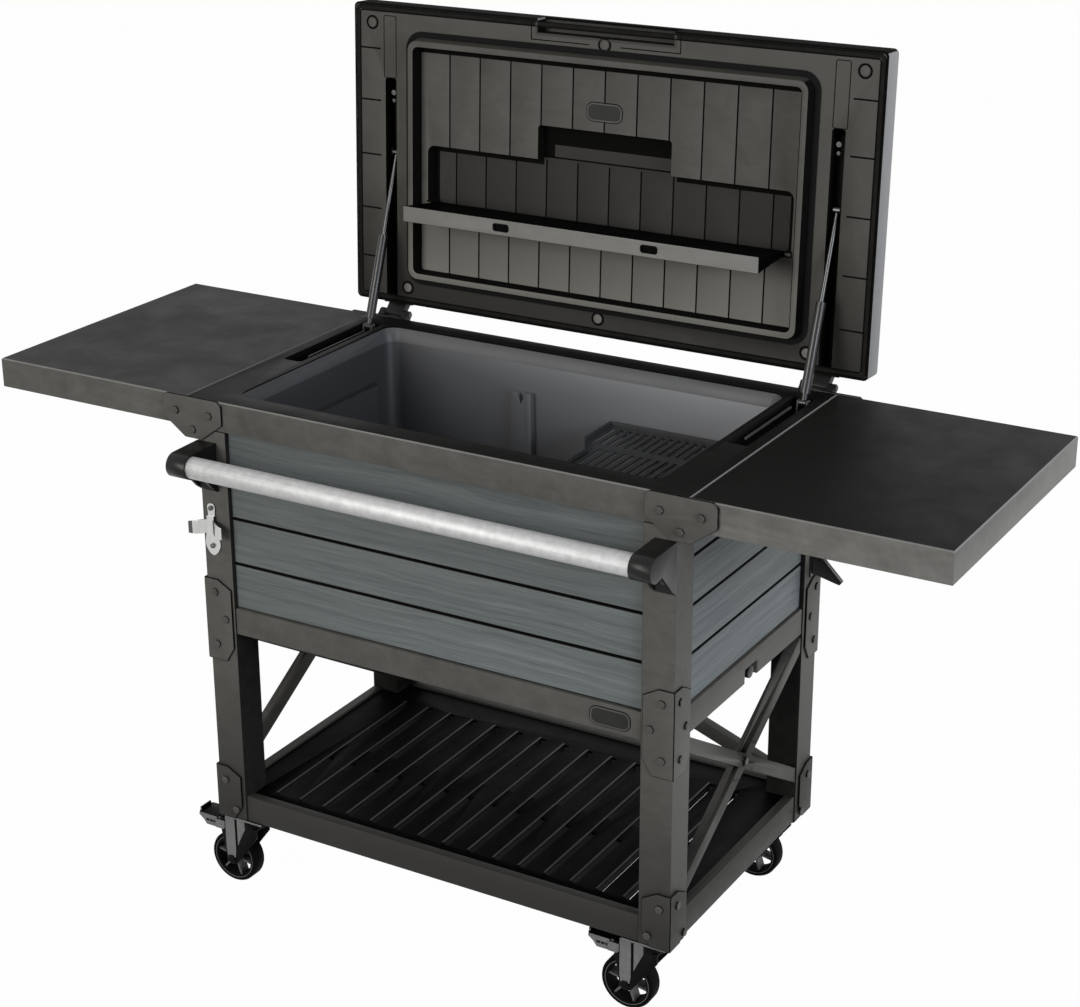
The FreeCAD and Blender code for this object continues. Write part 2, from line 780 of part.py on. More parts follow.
def wing():
    # right wing: a hollow panel whose inner lower corners are rounded about the pivot
    bottom = deck_bottom
    swing = wing_pivot_inset + 0.5
    body = block((wing_start, wing_end), (-wing_side, wing_side), (bottom, table_height))
    on_top = [edge for edge in body.Edges if edge.BoundBox.ZMin > table_height - 0.01]
    body = body.makeChamfer(top_bevel, on_top)
    inside_y = both_sides(wing_side - wing_skin)
    hollow = block((wing_start + wing_skin, wing_end - wing_skin), inside_y,
                   (bottom - 1, table_height - wing_skin))
    ribs = [block((wing_start + wing_skin, wing_end - wing_skin), (y - 1.5, y + 1.5),
                  (table_height - wing_skin - wing_rib_height, table_height - wing_skin))
            for y in (-wing_rib_place, wing_rib_place)]
    body = joined([body.cut(hollow)] + ribs)
    corner = block((wing_start - 1, wing_pivot_x), (-half_depth, half_depth), (bottom - 1, wing_pivot_z))
    keep = bar_y(wing_pivot_x, both_sides(half_depth), wing_pivot_z, swing)
    end_wall = block((wing_start - 1, wing_start + wing_skin + 1), inside_y, (bottom - 1, wing_pivot_z))
    body = body.cut(corner.cut(keep)).cut(end_wall)
    bore = bar_y(wing_pivot_x, both_sides(half_depth), wing_pivot_z, pivot_radius + shaft_gap)
    boss_x = wing_end - latch_inset
    lugs = []
    for side in (-1, 1):
        near = latch_centre + side * (latch_width / 2 + 1)
        lugs.append(block((boss_x - 7, boss_x + 7), (near, near + side * 4),
                          (latch_axis_z - 7, table_height - wing_skin)))
    latch_bore = bar_y(boss_x, both_sides(half_depth / 2), latch_axis_z, latch_pin + shaft_gap)
    return joined([body.cut(bore)] + lugs).cut(latch_bore)


def wing_latch():
    # lever under the wing's outer edge, on a pin between two lugs
    x = wing_end - latch_inset
    z = latch_axis_z
    half = latch_width / 2
    outline = [(x - 8, z + 4), (x + 6, z + 6), (x + 8, z - 4), (x + 20, z - 18), (x + 22, z - 25),
               (x + 14, z - 26), (x, z - 12), (x - 8, z - 6)]
    lever = plate(outline, "y", latch_centre - half, latch_centre + half)
    lever = lever.makeFillet(1.5, edges_along(lever, "y"))
    pin = bar_y(x, (latch_centre - half - 5, latch_centre + half + 5), z, latch_pin)
    return joined([lever, pin])


def hinge_plate():
    # front right plate, held to the deck and the leg, that carries the wing's pivot bolt
    c = plate_corner_cut
    top = table_height + 1
    outline = [(plate_inner_x + c, top), (plate_outer_x - c, top), (plate_outer_x, top - c),
               (plate_outer_x, plate_shoulder), (plate_foot_outer, plate_bottom),
               (plate_foot_inner, plate_bottom), (plate_inner_x, plate_shoulder), (plate_inner_x, top - c)]
    face = -half_depth - plate_thickness
    shape = plate(outline, "y", face, -half_depth)
    shape = shape.makeFillet(5.0, edges_along(shape, "y"))
    bore = bar_y(wing_pivot_x, (face - 1, -half_depth + 1), wing_pivot_z, pivot_radius + shaft_gap)
    return shape.cut(bore)


def wing_pivot():
    face = -half_depth - plate_thickness
    inside = -wing_side + wing_skin + 0.6
    shank = bar_y(wing_pivot_x, (face, inside + 4), wing_pivot_z, pivot_radius)
    nut = bolt_head(V(wing_pivot_x, inside, wing_pivot_z), Y, pivot_radius + 4)
    head = bolt_head(V(wing_pivot_x, face, wing_pivot_z), -Y)
    return joined([shank, nut, head])


def gusset_outline(corner, low, high, reach, chamfer):
    # leg face plate in (distance, height), wide at the corner of the leg
    near = corner
    far = corner - reach
    return [(near, low), (far + chamfer * 0.6, low), (far, low + chamfer), (far, high - chamfer * 0.55),
            (far + chamfer, high), (near, high)]


def corner_gusset(low, high, reach, chamfer):
    out = gusset_thickness
    front = plate(gusset_outline(half_length + out, low, high, reach + out, chamfer), "y",
                  half_depth, half_depth + out)
    side = plate(gusset_outline(half_depth + out, low, high, reach + out, chamfer), "x",
                 half_length, half_length + out)
    return joined([front, side])


def gusset_bolts():
    # pairs of distance in from the leg's outer corner and height
    face_y = half_depth + gusset_thickness
    face_x = half_length + gusset_thickness
    upper_front = ((19, upper_gusset_top - 24), (39, upper_gusset_top - 72), (18, upper_gusset_bottom + 31))
    upper_side = ((16, upper_gusset_top - 23), (36, upper_gusset_top - 72), (18, upper_gusset_bottom + 30))
    lower_front = ((17, lower_gusset_top - 27), (38, caster_height + 21))
    lower_side = ((19, lower_gusset_top - 25), (44, caster_height + 15))
    heads = []
    for inset, z in upper_front + lower_front:
        heads.append(bolt_head(V(half_length - inset, face_y, z), Y))
    for inset, z in upper_side + lower_side:
        heads.append(bolt_head(V(face_x, half_depth - inset, z), X))
    return [copy for head in heads for copy in four_corners(head)]


def frame_bolts():
    heads = gusset_bolts()
    face = half_depth + plate_thickness
    for x, z in ((deck_bolt_x, wing_pivot_z), (foot_bolt_x, foot_bolt_z)):
        heads += both_ends(bolt_head(V(x, -face, z), -Y))
    heads += both_ends(bolt_head(V(foot_bolt_x, face, foot_bolt_z), Y))
    heads += both_ends(bolt_head(V(deck_bolt_x, face + leaf_thickness, wing_pivot_z), Y))
    heads += both_ends(bolt_head(V(half_length - rail_setback, 0, brace_centre), X))
    return heads


def crossed_bars(run, rise, centre, width, lap):
    # two half lapped bars in the (run, height) plane, between low and high along their thickness
    axis, low, high = lap
    tall = width / math.cos(math.atan2(rise, run))
    middle = (low + high) / 2
    bars = []
    for way, outer in ((1, False), (-1, True)):
        ends = [(-run / 2, centre - way * rise / 2), (run / 2, centre + way * rise / 2)]
        outline = [(ends[0][0], ends[0][1] - tall / 2), (ends[1][0], ends[1][1] - tall / 2),
                   (ends[1][0], ends[1][1] + tall / 2), (ends[0][0], ends[0][1] + tall / 2)]
        full = plate(outline, axis, low, high)
        half = plate(outline, axis, middle, high) if outer else plate(outline, axis, low, middle)
        bars.append((full, half))
    (rising, rising_half), (falling, falling_half) = bars
    # the falling bar keeps its outer half at the crossing, the rising bar its inner half
    return [rising.cut(falling_half), falling.cut(rising.cut(falling_half))]


def end_brace():
    outer = half_length - rail_setback
    return crossed_bars(2 * leg_in_y, brace_rise, brace_centre, brace_width,
                        ("x", outer - brace_depth, outer))


def back_brace():
    outer = half_depth - rail_setback
    tall = brace_width / math.cos(math.atan2(apron_bottom - rail_top, 2 * leg_in_x))
    rise = apron_bottom - rail_top - tall
    return crossed_bars(2 * leg_in_x, rise, (apron_bottom + rail_top) / 2, brace_width,
                        ("y", outer - brace_depth, outer))


def handle_tube():
    reach = collar_inner + tube_seat
    tube = bar_x(both_sides(reach), handle_axis_y, handle_axis_z, handle_radius)
    bore = bar_x(both_sides(reach + 1), handle_axis_y, handle_axis_z, handle_radius - handle_wall)
    return [tube.cut(bore)]


def handle_bracket():
    # wedge from the leg's face out to the collar round the tube's end
    face = -half_depth
    r = collar_radius
    lean = math.atan2(handle_foot_top - handle_axis_z - r, face - handle_axis_y)
    top_y = handle_axis_y - r * math.sin(lean)
    top_z = handle_axis_z + r * math.cos(lean)
    outline = [(face, handle_foot_bottom), (face, handle_foot_top), (top_y, top_z),
               (handle_axis_y, handle_axis_z), (handle_axis_y, handle_axis_z - r + 1),
               (handle_axis_y + r * 0.9, handle_axis_z - r + 2),
               (face - handle_foot_thickness * 2.2, handle_foot_bottom + 10)]
    wedge = plate(outline, "x", collar_inner, collar_outer)
    collar = bar_x((collar_inner, collar_outer), handle_axis_y, handle_axis_z, r)
    body = joined([wedge, collar])
    body = body.makeFillet(1.5, edges_along(body, "x", lambda m: m.y > handle_axis_y + r and m.y < face - 1))
    pocket = block((collar_inner + 5, collar_outer - 5),
                   (face - handle_foot_thickness, handle_axis_y + r * 0.6),
                   (handle_foot_bottom - 1, handle_axis_z - r * 0.2))
    seat = bar_x((0, collar_inner + tube_seat + panel_gap), handle_axis_y, handle_axis_z,
                 handle_radius + shaft_gap)
    clear_tube = bar_x((0, collar_outer - 8), handle_axis_y, handle_axis_z, r - 0.1)
    return body.cut(pocket.cut(clear_tube)).cut(seat)


def small_screws():
    face = -half_depth - handle_foot_thickness
    middle = (collar_inner + collar_outer) / 2
    screws = both_ends(bolt_head(V(middle, face, handle_foot_bottom + 22), -Y, 6.0, 3.0))
    opener_face = -half_depth - opener_thickness
    for z in (opener_top - 9, opener_bottom + 16):
        screws.append(bolt_head(V(opener_x, opener_face, z), -Y, 4.5, 2.5))
    return screws


def bottle_opener():
    # stamped opener: round tab, spread wings bent forward, and a pear shaped lower lobe
    face = -half_depth
    front = face - opener_thickness
    tab = round_bar(V(opener_x, front, opener_top - 9), V(opener_x, face, opener_top - 9), 9)
    lobe = round_bar(V(opener_x, front, opener_bottom + 17), V(opener_x, face, opener_bottom + 17), 17)
    neck = plate([(opener_x - 8, opener_top - 12), (opener_x + 8, opener_top - 12),
                  (opener_x + 15, opener_top - 45), (opener_x + 16, opener_bottom + 22),
                  (opener_x - 16, opener_bottom + 22), (opener_x - 15, opener_top - 45)], "y", front, face)
    back = joined([tab, lobe, neck])
    low = (opener_top + opener_bottom) / 2 - 9
    high = opener_top - 26
    hood = []
    for side, reach in ((-1, 40), (1, 34)):
        near = opener_x + side * 6
        far = opener_x + side * reach
        profile = [(near, front), (near + side * 4, front - 14), (far, front - 20), (far, front - 17),
                   (near + side * 6, front - 11), (near + side * 2, front), (near, front)]
        corners = [V(x, y, low) for x, y in profile]
        hood.append(Part.Face(Part.makePolygon(corners)).extrude(Z * (high - low)))
    bridge = block((opener_x - 10, opener_x + 10), (front - 14.5, front - 11.5), (low + 6, high))
    return [joined([back] + hood + [bridge])]


def wing_catch():
    # triangular catch on the back leg's outer face, inside the reach of the folded wing
    x = half_length
    low = upper_gusset_top + catch_gap
    high = low + catch_height
    outline = [(x, high), (x, low), (x + catch_reach - catch_tip, low - catch_drop),
               (x + catch_reach, low - catch_drop / 2), (x + catch_throat, low + catch_throat_rise)]
    outer = half_depth - catch_inset
    inner = outer - catch_thickness
    arm = plate(outline, "y", inner, outer)
    foot = block((x, x + catch_foot_thickness), (inner - catch_foot_margin, outer + catch_foot_margin),
                 (low - catch_tip, high + catch_tip))
    return joined([arm, foot])


def lid_shell():
    outer = rounded_block((-lid_half, lid_half), (lid_front, lid_back), (lid_bottom, lid_top), lid_corner)
    on_top = [edge for edge in outer.Edges if edge.BoundBox.ZMin > lid_top - 0.01]
    outer = outer.makeFillet(3.0, on_top)
    inner = rounded_block(both_sides(lid_half - lid_wall), (lid_front + lid_wall, lid_back - lid_wall),
                          (lid_bottom - 1, lid_top - lid_wall), lid_corner - lid_wall)
    grip = block((-grip_half_length, grip_half_length), (lid_front - 1, lid_front + grip_depth),
                 (lid_bottom - 1, lid_bottom + grip_height))
    return [opened(outer.cut(inner).cut(grip))]


def liner_pocket(front, back, half, depth, corner):
    return rounded_block((-half, half), (front, back), (lid_bottom - plug_height - 1, depth), corner)


def lid_liner():
    # inner panel: border, raised plug frame, grooved boards, pocket behind the shelf, slots, finger grip
    gap = lid_wall + panel_gap
    top = lid_bottom + liner_thickness
    slab = rounded_block(both_sides(lid_half - gap), (lid_front + gap, lid_back - gap), (lid_bottom, top),
                         lid_corner - lid_wall)
    frame_low = lid_bottom - plug_height
    ring = Part.makeLoft([rounded_rectangle(plug_half_length, plug_half_depth, tub_corner, lid_bottom),
                          rounded_rectangle(plug_half_length - plug_slope, plug_half_depth - plug_slope,
                                            tub_corner - plug_slope, frame_low)], True, True)
    pocket_top = panel_z + pocket_depth
    wall = housing_wall
    housings = [
        block(both_sides(pocket_half_length + wall), (pocket_front - wall, pocket_back + wall),
              (lid_bottom, pocket_top + wall)),
        block(both_sides(pocket_notch_half + wall), (pocket_notch_front - wall, pocket_front),
              (lid_bottom, pocket_top + wall)),
        block(both_sides(grip_half_length + wall), (lid_front + gap, lid_front + grip_depth + wall),
              (lid_bottom, lid_bottom + grip_height + wall)),
    ]
    slot_housing = block((slot_inner - wall, slot_outer + wall), (slot_front - wall, slot_back + wall),
                         (lid_bottom, lid_bottom + slot_depth + wall))
    housings += both_ends(slot_housing)
    body = joined([slab, ring] + housings)
    inner_x = plug_half_length - plug_frame
    inner_y = plug_half_depth - plug_frame
    cuts = [rounded_block(both_sides(inner_x), both_sides(inner_y), (frame_low - 1, panel_z),
                          tub_corner / 2)]
    pitch = 2 * inner_x / panel_boards
    for i in range(1, panel_boards):
        x = -inner_x + i * pitch
        cuts.append(block((x - groove_width / 2, x + groove_width / 2), (-inner_y, inner_y),
                          (frame_low - 1, panel_z + groove_depth)))
        cuts.append(block((x - groove_width / 2, x + groove_width / 2), (pocket_front + 4, pocket_back - 4),
                          (frame_low - 1, pocket_top + groove_depth)))
    cuts.append(liner_pocket(pocket_front, pocket_back, pocket_half_length, pocket_top, pocket_corner))
    cuts.append(liner_pocket(pocket_notch_front, pocket_front + pocket_corner, pocket_notch_half, pocket_top,
                             6.0))
    cuts.append(block((-grip_half_length, grip_half_length), (lid_front - 1, lid_front + grip_depth),
                      (lid_bottom - 1, lid_bottom + grip_height)))
    slot = rounded_block((slot_inner, slot_outer), (slot_front, slot_back),
                         (lid_bottom - 1, lid_bottom + slot_depth), 5.0)
    cuts += both_ends(slot)
    body = body.cut(cuts)
    return [opened(joined([body] + shelf_bosses()).cut(shelf_pins(shaft_gap)))]


def shelf_axis_z():
    return panel_z + lid_shelf_axis_inset


def shelf_bosses():
    bosses = []
    for side in (-1, 1):
        near = side * (lid_shelf_half + 3)
        far = side * (pocket_half_length + 1)
        z = shelf_axis_z()
        y = lid_shelf_axis_y
        bosses.append(bar_x((near, far), y, z, lid_shelf_boss))
        bosses.append(block((near, far), (y - lid_shelf_boss, y + lid_shelf_boss), (z, z + pocket_depth)))
    return bosses


def shelf_pins(margin):
    z = shelf_axis_z()
    y = lid_shelf_axis_y
    reach = lid_shelf_half + 3 + 8 + margin
    inner = lid_shelf_half - 1
    pins = [bar_x((side * inner, side * reach), y, z, lid_shelf_pin + margin) for side in (-1, 1)]
    return Part.makeCompound(pins)


def lid_shelf():
    # shelf that stands square to the open lid, with a deep front lip and end cheeks
    y = lid_shelf_axis_y
    z = shelf_axis_z()
    half = lid_shelf_half
    t = lid_shelf_plate / 2
    tip = panel_z - lid_shelf_depth
    sheet = block((-half, half), (y - t, y + t), (tip, z))
    root = round_bar(V(-half, y, z), V(half, y, z), lid_shelf_plate * 0.7)
    lip = block((-half, half), (y - lid_shelf_lip / 2, y + lid_shelf_lip / 2), (tip, tip + lid_shelf_plate))
    lip = lip.makeFillet(1.5, edges_along(lip, "x"))
    cheeks = []
    for side in (-1, 1):
        outline = [(y - t, z), (y + t, z), (y + lid_shelf_lip / 2 - 1, tip + lid_shelf_plate - 1),
                   (y + lid_shelf_lip / 2 - 1, tip + 1), (y - lid_shelf_lip / 2 + 1, tip + 1),
                   (y - lid_shelf_lip / 2 + 1, tip + lid_shelf_plate - 1)]
        low, high = sorted((side * (half - 6), side * half))
        cheeks.append(plate(outline, "x", low, high))
    slots = [block((x - 14, x + 14), (y - 6, y + 6), (tip - 1, tip + 3)) for x in (-145.0, 145.0)]
    body = joined([sheet, root, lip] + cheeks + shelf_pins(0).Solids)
    return [opened(body.cut(slots))]


def lid_seal():
    # ring round the foot of the plug frame, against the tub's flared rim
    low = lid_bottom - seal_thickness

    def ring_block(margin, z):
        return rounded_block(both_sides(plug_half_length + margin), both_sides(plug_half_depth + margin), z,
                             tub_corner + margin)

    outer = ring_block(panel_gap + seal_width, (low, lid_bottom))
    return [opened(outer.cut(ring_block(panel_gap, (low - 1, lid_bottom + 1))))]


def lid_plugs():
    # round plugs over the screws of the inner panel
    front = lid_front + button_front_inset
    back = lid_back - button_back_inset
    corner_x = lid_half - button_end_inset
    pair_x = lid_half - button_pair_inset
    places = [(-corner_x, front), (corner_x, front), (0, front), (0, back), (-pair_x, back), (pair_x, back)]
    return [opened(bar_z(x, y, (lid_bottom - button_height, lid_bottom), button_radius)) for x, y in places]


def lid_hinge_arm():
    low = lid_hinge_centre - lid_hinge_half
    high = lid_hinge_centre + lid_hinge_half
    face = lid_back
    leaf = block((low, high), (face, face + leaf_thickness), (lid_axis_z + 9, lid_top - 8))
    r = knuckle_radius
    s = r * math.sqrt(0.5)
    outline = [(face + leaf_thickness, lid_axis_z + 26), (face, lid_axis_z + 26), (face, lid_axis_z + 9),
               (lid_axis_y - s, lid_axis_z - s), (lid_axis_y + s, lid_axis_z + s)]
    near = low + side_knuckle + 0.5
    far = high - side_knuckle - 0.5
    arm = plate(outline, "x", near, far)
    barrel = bar_x((near, far), lid_axis_y, lid_axis_z, r)
    bore = bar_x((low, high), lid_axis_y, lid_axis_z, lid_pin_radius + shaft_gap)
    return opened(joined([leaf, arm, barrel]).cut(bore))


def lid_hinge_bracket():
    # carried by the back hinge plate and its upper bolt
    low = lid_hinge_centre - lid_hinge_half
    high = lid_hinge_centre + lid_hinge_half
    face = half_depth + plate_thickness
    base = block((low, high), (face, face + leaf_thickness), (plate_shoulder - 4, lid_axis_z - 7))
    r = knuckle_radius
    s = r * math.sqrt(0.5)
    outline = [(face + leaf_thickness, lid_axis_z - 34), (face, lid_axis_z - 34), (face, lid_axis_z - 4),
               (lid_axis_y - s, lid_axis_z + s), (lid_axis_y + s, lid_axis_z - s)]
    pieces = [base]
    for near, far in ((low, low + side_knuckle), (high - side_knuckle, high)):
        pieces.append(plate(outline, "x", near, far))
        pieces.append(bar_x((near, far), lid_axis_y, lid_axis_z, r))
    bore = bar_x((low - 1, high + 1), lid_axis_y, lid_axis_z, lid_pin_radius + shaft_gap)
    return joined(pieces).cut(bore)


def lid_hinge_pin():
    low = lid_hinge_centre - lid_hinge_half
    high = lid_hinge_centre + lid_hinge_half
    shaft = bar_x((low - 2, high + 2), lid_axis_y, lid_axis_z, lid_pin_radius)
    heads = [bar_x(x, lid_axis_y, lid_axis_z, 5.0) for x in ((low - 2, low - 0.2), (high + 0.2, high + 2))]
    return joined([shaft] + heads)


def spring_line():
    # foot point, unit vector and length of the spring with the lid open
    foot = V(spring_x, spring_foot_y, spring_foot_z)
    head = opened(Part.Vertex(spring_x, spring_head_y, spring_head_z)).Point
    way = head - foot
    return foot, way / way.Length, way.Length


def spring_anchor():
    half = spring_eye_width / 2 + ear_gap
    floor = table_height - trough_depth
    y = spring_foot_y
    base = block((spring_x - half - ear_thickness, spring_x + half + ear_thickness), (y - 12, y + 10),
                 (floor, floor + ear_thickness))
    ears = []
    for side in (-1, 1):
        low, high = sorted((spring_x + side * half, spring_x + side * (half + ear_thickness)))
        tip = spring_foot_z + 5
        ear = plate([(y - 10, floor), (y + 8, floor), (y + 5, tip), (y - 5, tip)], "x", low, high)
        ears.append(ear)
    pin = bar_x((spring_x - half, spring_x + half), y, spring_foot_z, spring_pin_radius)
    return joined([base] + ears + [pin])


def spring_cylinder():
    foot, way, _ = spring_line()
    half = V(spring_eye_width / 2, 0, 0)
    eye = round_bar(foot - half, foot + half, spring_eye_radius)
    neck = round_bar(foot + way * 4, foot + way * (spring_body_start + 1), 5.0)
    body = round_bar(foot + way * spring_body_start, foot + way * spring_body_end, spring_body_radius)
    bore = round_bar(foot + way * (spring_body_start + 3), foot + way * (spring_body_end + 1),
                     spring_rod_radius + sliding_gap)
    eye_bore = round_bar(foot - half - X, foot + half + X, spring_pin_radius + shaft_gap)
    return joined([eye, neck, body]).cut(bore).cut(eye_bore)


def spring_rod():
    foot, way, length = spring_line()
    head = foot + way * length
    half = V(spring_eye_width / 2, 0, 0)
    rod = round_bar(foot + way * (spring_body_end - spring_rod_inside), head - way * 4, spring_rod_radius)
    socket = round_bar(head - half, head + half, spring_eye_radius)
    return joined([rod, socket])


def lid_spring_bracket():
    # plate in the lid's slot with a ball stud beside the rod's socket
    floor = lid_bottom + slot_depth
    y = spring_head_y
    near = spring_x + spring_eye_width / 2 + ear_gap + head_clearance
    base = block((slot_inner + 2, near + 2), (y - head_plate_reach, y + 10), (floor - 3, floor))
    tip = spring_head_z - 5
    ear = plate([(y - 14, floor - 3), (y + 10, floor - 3), (y + 6, tip), (y - 6, tip)], "x", near, near + 2)
    stud = bar_x((near - ear_gap, near + 1), y, spring_head_z, 3.5)
    screw = bolt_head(V(spring_x, y - head_screw_reach, floor - 3), -Z, 6.0, 3.0)
    return opened(joined([base, ear, stud, screw]))


def caster_plate():
    half_l = caster_plate_length / 2
    half_w = caster_plate_width / 2
    low = caster_plate_bottom
    top = rounded_block((caster_x - half_l, caster_x + half_l), (caster_y - half_w, caster_y + half_w),
                        (low, caster_height), 8.0)
    race = bar_z(caster_x, caster_y, (low - caster_race_height, low), caster_race_radius)
    pin = bar_z(caster_x, caster_y, (fork_crown_bottom - 2, low), kingpin_radius)
    nut = bolt_head(V(caster_x, caster_y, fork_crown_bottom - swivel_gap), -Z, kingpin_radius + 4)
    return joined([top, race, pin, nut])


def caster_fork(x, y, pedal):
    # crown with a bearing cup, two cheeks that trail to the axle
    crown_top = caster_plate_bottom - caster_race_height - swivel_gap
    cup = bar_z(0, 0, (fork_crown_bottom, crown_top), fork_cup_radius)
    outer = fork_cheek_inner + fork_cheek_thickness
    top = fork_crown_bottom + fork_crown_thickness
    tail = pedal_pivot_x - 5 if pedal else -24
    bridge = block((-20, 20), (-outer, outer), (fork_crown_bottom, top))
    cheeks = []
    for side in (-1, 1):
        low, high = sorted((side * fork_cheek_inner, side * outer))
        outline = [(20, top), (20, fork_crown_bottom - 14), (-caster_trail + 11, wheel_radius - 8),
                   (-caster_trail, wheel_radius - 12), (-caster_trail - 11, wheel_radius - 6),
                   (-caster_trail - 12, wheel_radius + 8), (tail, fork_crown_bottom - 6), (tail, top + 3),
                   (-18, top)]
        cheeks.append(plate(outline, "y", low, high))
    axle = bar_y(-caster_trail, both_sides(outer + 3), wheel_radius, axle_radius)
    nuts = [bolt_head(V(-caster_trail, side * outer, wheel_radius), Y * side, 8.5) for side in (-1, 1)]
    fork = joined([cup, bridge] + cheeks + [axle] + nuts)
    fork = fork.cut(bar_z(0, 0, (fork_crown_bottom - 6, crown_top + 1), kingpin_radius + shaft_gap))
    if pedal:
        fork = fork.cut(bar_y(pedal_pivot_x, both_sides(outer + 1), pedal_pivot_z, pedal_pin + shaft_gap))
    fork.translate(V(x, y, 0))
    return fork


def wheel(x, y):
    # solid tyre on a spoked rim
    half = wheel_width / 2
    rim = wheel_radius - tyre_thickness
    edge = tyre_chamfer
    corners = [(rim, -half), (wheel_radius - edge, -half), (wheel_radius, -half + edge),
               (wheel_radius, half - edge), (wheel_radius - edge, half), (rim, half)]
    profile = [V(r, y, 0) for r, y in corners + corners[:1]]
    tyre = Part.Face(Part.makePolygon(profile)).revolve(V(0, 0, 0), Y, 360)
    web = Part.makeCylinder(rim, half, V(0, -half / 2, 0), Y)
    hub = Part.makeCylinder(wheel_hub_radius, wheel_width, V(0, -half, 0), Y)
    windows = []
    inner = wheel_hub_radius + 3
    outer = rim - 4
    spread = math.pi / wheel_spokes * 0.62
    for i in range(wheel_spokes):
        angle = 2 * math.pi * (i + 0.5) / wheel_spokes
        corners = [(inner, -spread * 0.7), (outer, -spread), (outer, spread), (inner, spread * 0.7)]
        points = [V(r * math.cos(angle + a), -half, r * math.sin(angle + a)) for r, a in corners]
        windows.append(Part.Face(Part.makePolygon(points + [points[0]])).extrude(Y * wheel_width))
    body = joined([tyre, web, hub]).cut(windows)
    body = body.cut(Part.makeCylinder(axle_radius + shaft_gap, wheel_width + 2, V(0, -half - 1, 0), Y))
    body.translate(V(x - caster_trail, y, wheel_radius))
    return body


def brake_pedal(x, y):
    # stamped pedal on a pin through the fork's tail, with a turned up front
    z = pedal_pivot_z + pedal_pin
    half = pedal_width / 2
    end = pedal_pivot_x - pedal_length
    arm_half = fork_cheek_inner - 1
    arm = block((pedal_pivot_x - 12, pedal_pivot_x + 4), (-arm_half, arm_half), (z - 4, z - 1))
    neck = block((pedal_pivot_x - 16, pedal_pivot_x - 6), (-arm_half, arm_half), (z - 4, z + 2))
    pad = block((end, pedal_pivot_x - 12), (-half, half), (z, z + pedal_thickness))
    pad = pad.makeFillet(6.0, edges_along(pad, "z", lambda m: m.x < end + 1))
    toe = block((end, end + 3), (-half + 6, half - 6), (z, z + 9))
    near = pedal_pivot_x - 12
    outline = [(end + 2, z + 1), (end + 2, z - 2), (end + 12, z - pedal_flange * 0.55),
               (end + 18, z - pedal_flange), (near, z - pedal_flange), (near, z + 1)]
    flanges = []
    for side in (-1, 1):
        low, high = sorted((side * half, side * (half - pedal_thickness)))
        flanges.append(plate(outline, "y", low, high))
    pin = bar_y(pedal_pivot_x, both_sides(arm_half + 6), pedal_pivot_z, pedal_pin)
    pedal = joined([arm, neck, pad, toe] + flanges + [pin])
    pedal.translate(V(x, y, 0))
    return pedal


def mitred_elbow(turn, end_x, top_z, radius):
    # two bars that meet at the turn on a slanted plane, one towards +X and one up
    x, y, z = turn.x, turn.y, turn.z
    r = radius + 1
    level = bar_x((x - r, end_x), y, z, radius)
    upright = bar_z(x, y, (z - r, top_z), radius)
    heel = (x - r, z - r)
    throat = (x + r, z + r)
    below = plate([heel, (end_x + 1, z - r), (end_x + 1, z + r), throat], "y", y - r, y + r)
    above = plate([heel, throat, (x + r, top_z + 1), (x - r, top_z + 1)], "y", y - r, y + r)
    return joined([level.common(below), upright.common(above)])


def drain_fitting():
    # elbow from the tub's floor out through the notch in the end apron
    turn = V(drain_sump_x, drain_y, drain_axis_z)
    end = V(half_length - drain_setback, drain_y, drain_axis_z)
    sump = V(drain_sump_x, drain_y, tub_floor)
    outer = mitred_elbow(turn, end.x, sump.z, drain_radius)
    inner = mitred_elbow(turn, end.x + 1, sump.z + 1, drain_bore)
    return [outer.cut(inner)]


def drain_cap():
    # screw cap over the end of the drain, with gripping flats
    spout_end = half_length - drain_setback
    end = spout_end + rail_setback + 3
    start = end - cap_length
    cap = bar_x((start, end), drain_y, drain_axis_z, cap_radius)
    bore = bar_x((start - 1, spout_end + 0.5), drain_y, drain_axis_z, drain_radius + sliding_gap)
    reach = (cap_radius - cap_flat_depth) / math.cos(math.pi / 6)
    turns = [math.pi * i / 3 for i in range(6)]
    flats = plate([(drain_y + reach * math.cos(a), drain_axis_z + reach * math.sin(a)) for a in turns],
                  "x", start, end)
    return [cap.common(flats).cut(bore)]


def write_frame():
    post = leg()
    save("leg_back_right", [post])
    save("leg_back_left", [in_x(post)])
    save("leg_front_right", [in_y(post)])
    save("leg_front_left", [in_x(in_y(post))])
    save("lower_rails", lower_rails())
    save("lower_shelf", lower_shelf())
    save("apron_front", [long_apron(-1)])
    save("apron_back", [long_apron(1)])
    save("aprons_end", end_aprons())
    long_boards = planks("x", leg_in_x - panel_gap, plank_face_y, core_half_y)
    end_boards = planks("y", leg_in_y - panel_gap, plank_face_x, core_half_x)
    save("planks_front", [in_y(board) for board in long_boards])
    save("planks_back", long_boards)
    save("planks_end", [copy for board in end_boards for copy in both_ends(board)])
    save("brace_right", end_brace())
    save("brace_left", [in_x(bar) for bar in end_brace()])
    save("brace_back", back_brace())
    gussets = [corner_gusset(upper_gusset_bottom, upper_gusset_top, gusset_reach, gusset_chamfer),
               corner_gusset(caster_height, lower_gusset_top, lower_gusset_reach, gusset_chamfer)]
    save("corner_plates", [copy for gusset in gussets for copy in four_corners(gusset)])
    save("frame_bolts", frame_bolts())
    save("small_screws", small_screws())


def write_cooler():
    save("body_base", body_base())
    save("insulation", insulation())
    save("tub", tub())
    save("top_frame", top_frame())
    save("tub_tray", tub_tray())
    save("drain_fitting", drain_fitting())
    save("drain_cap", drain_cap())


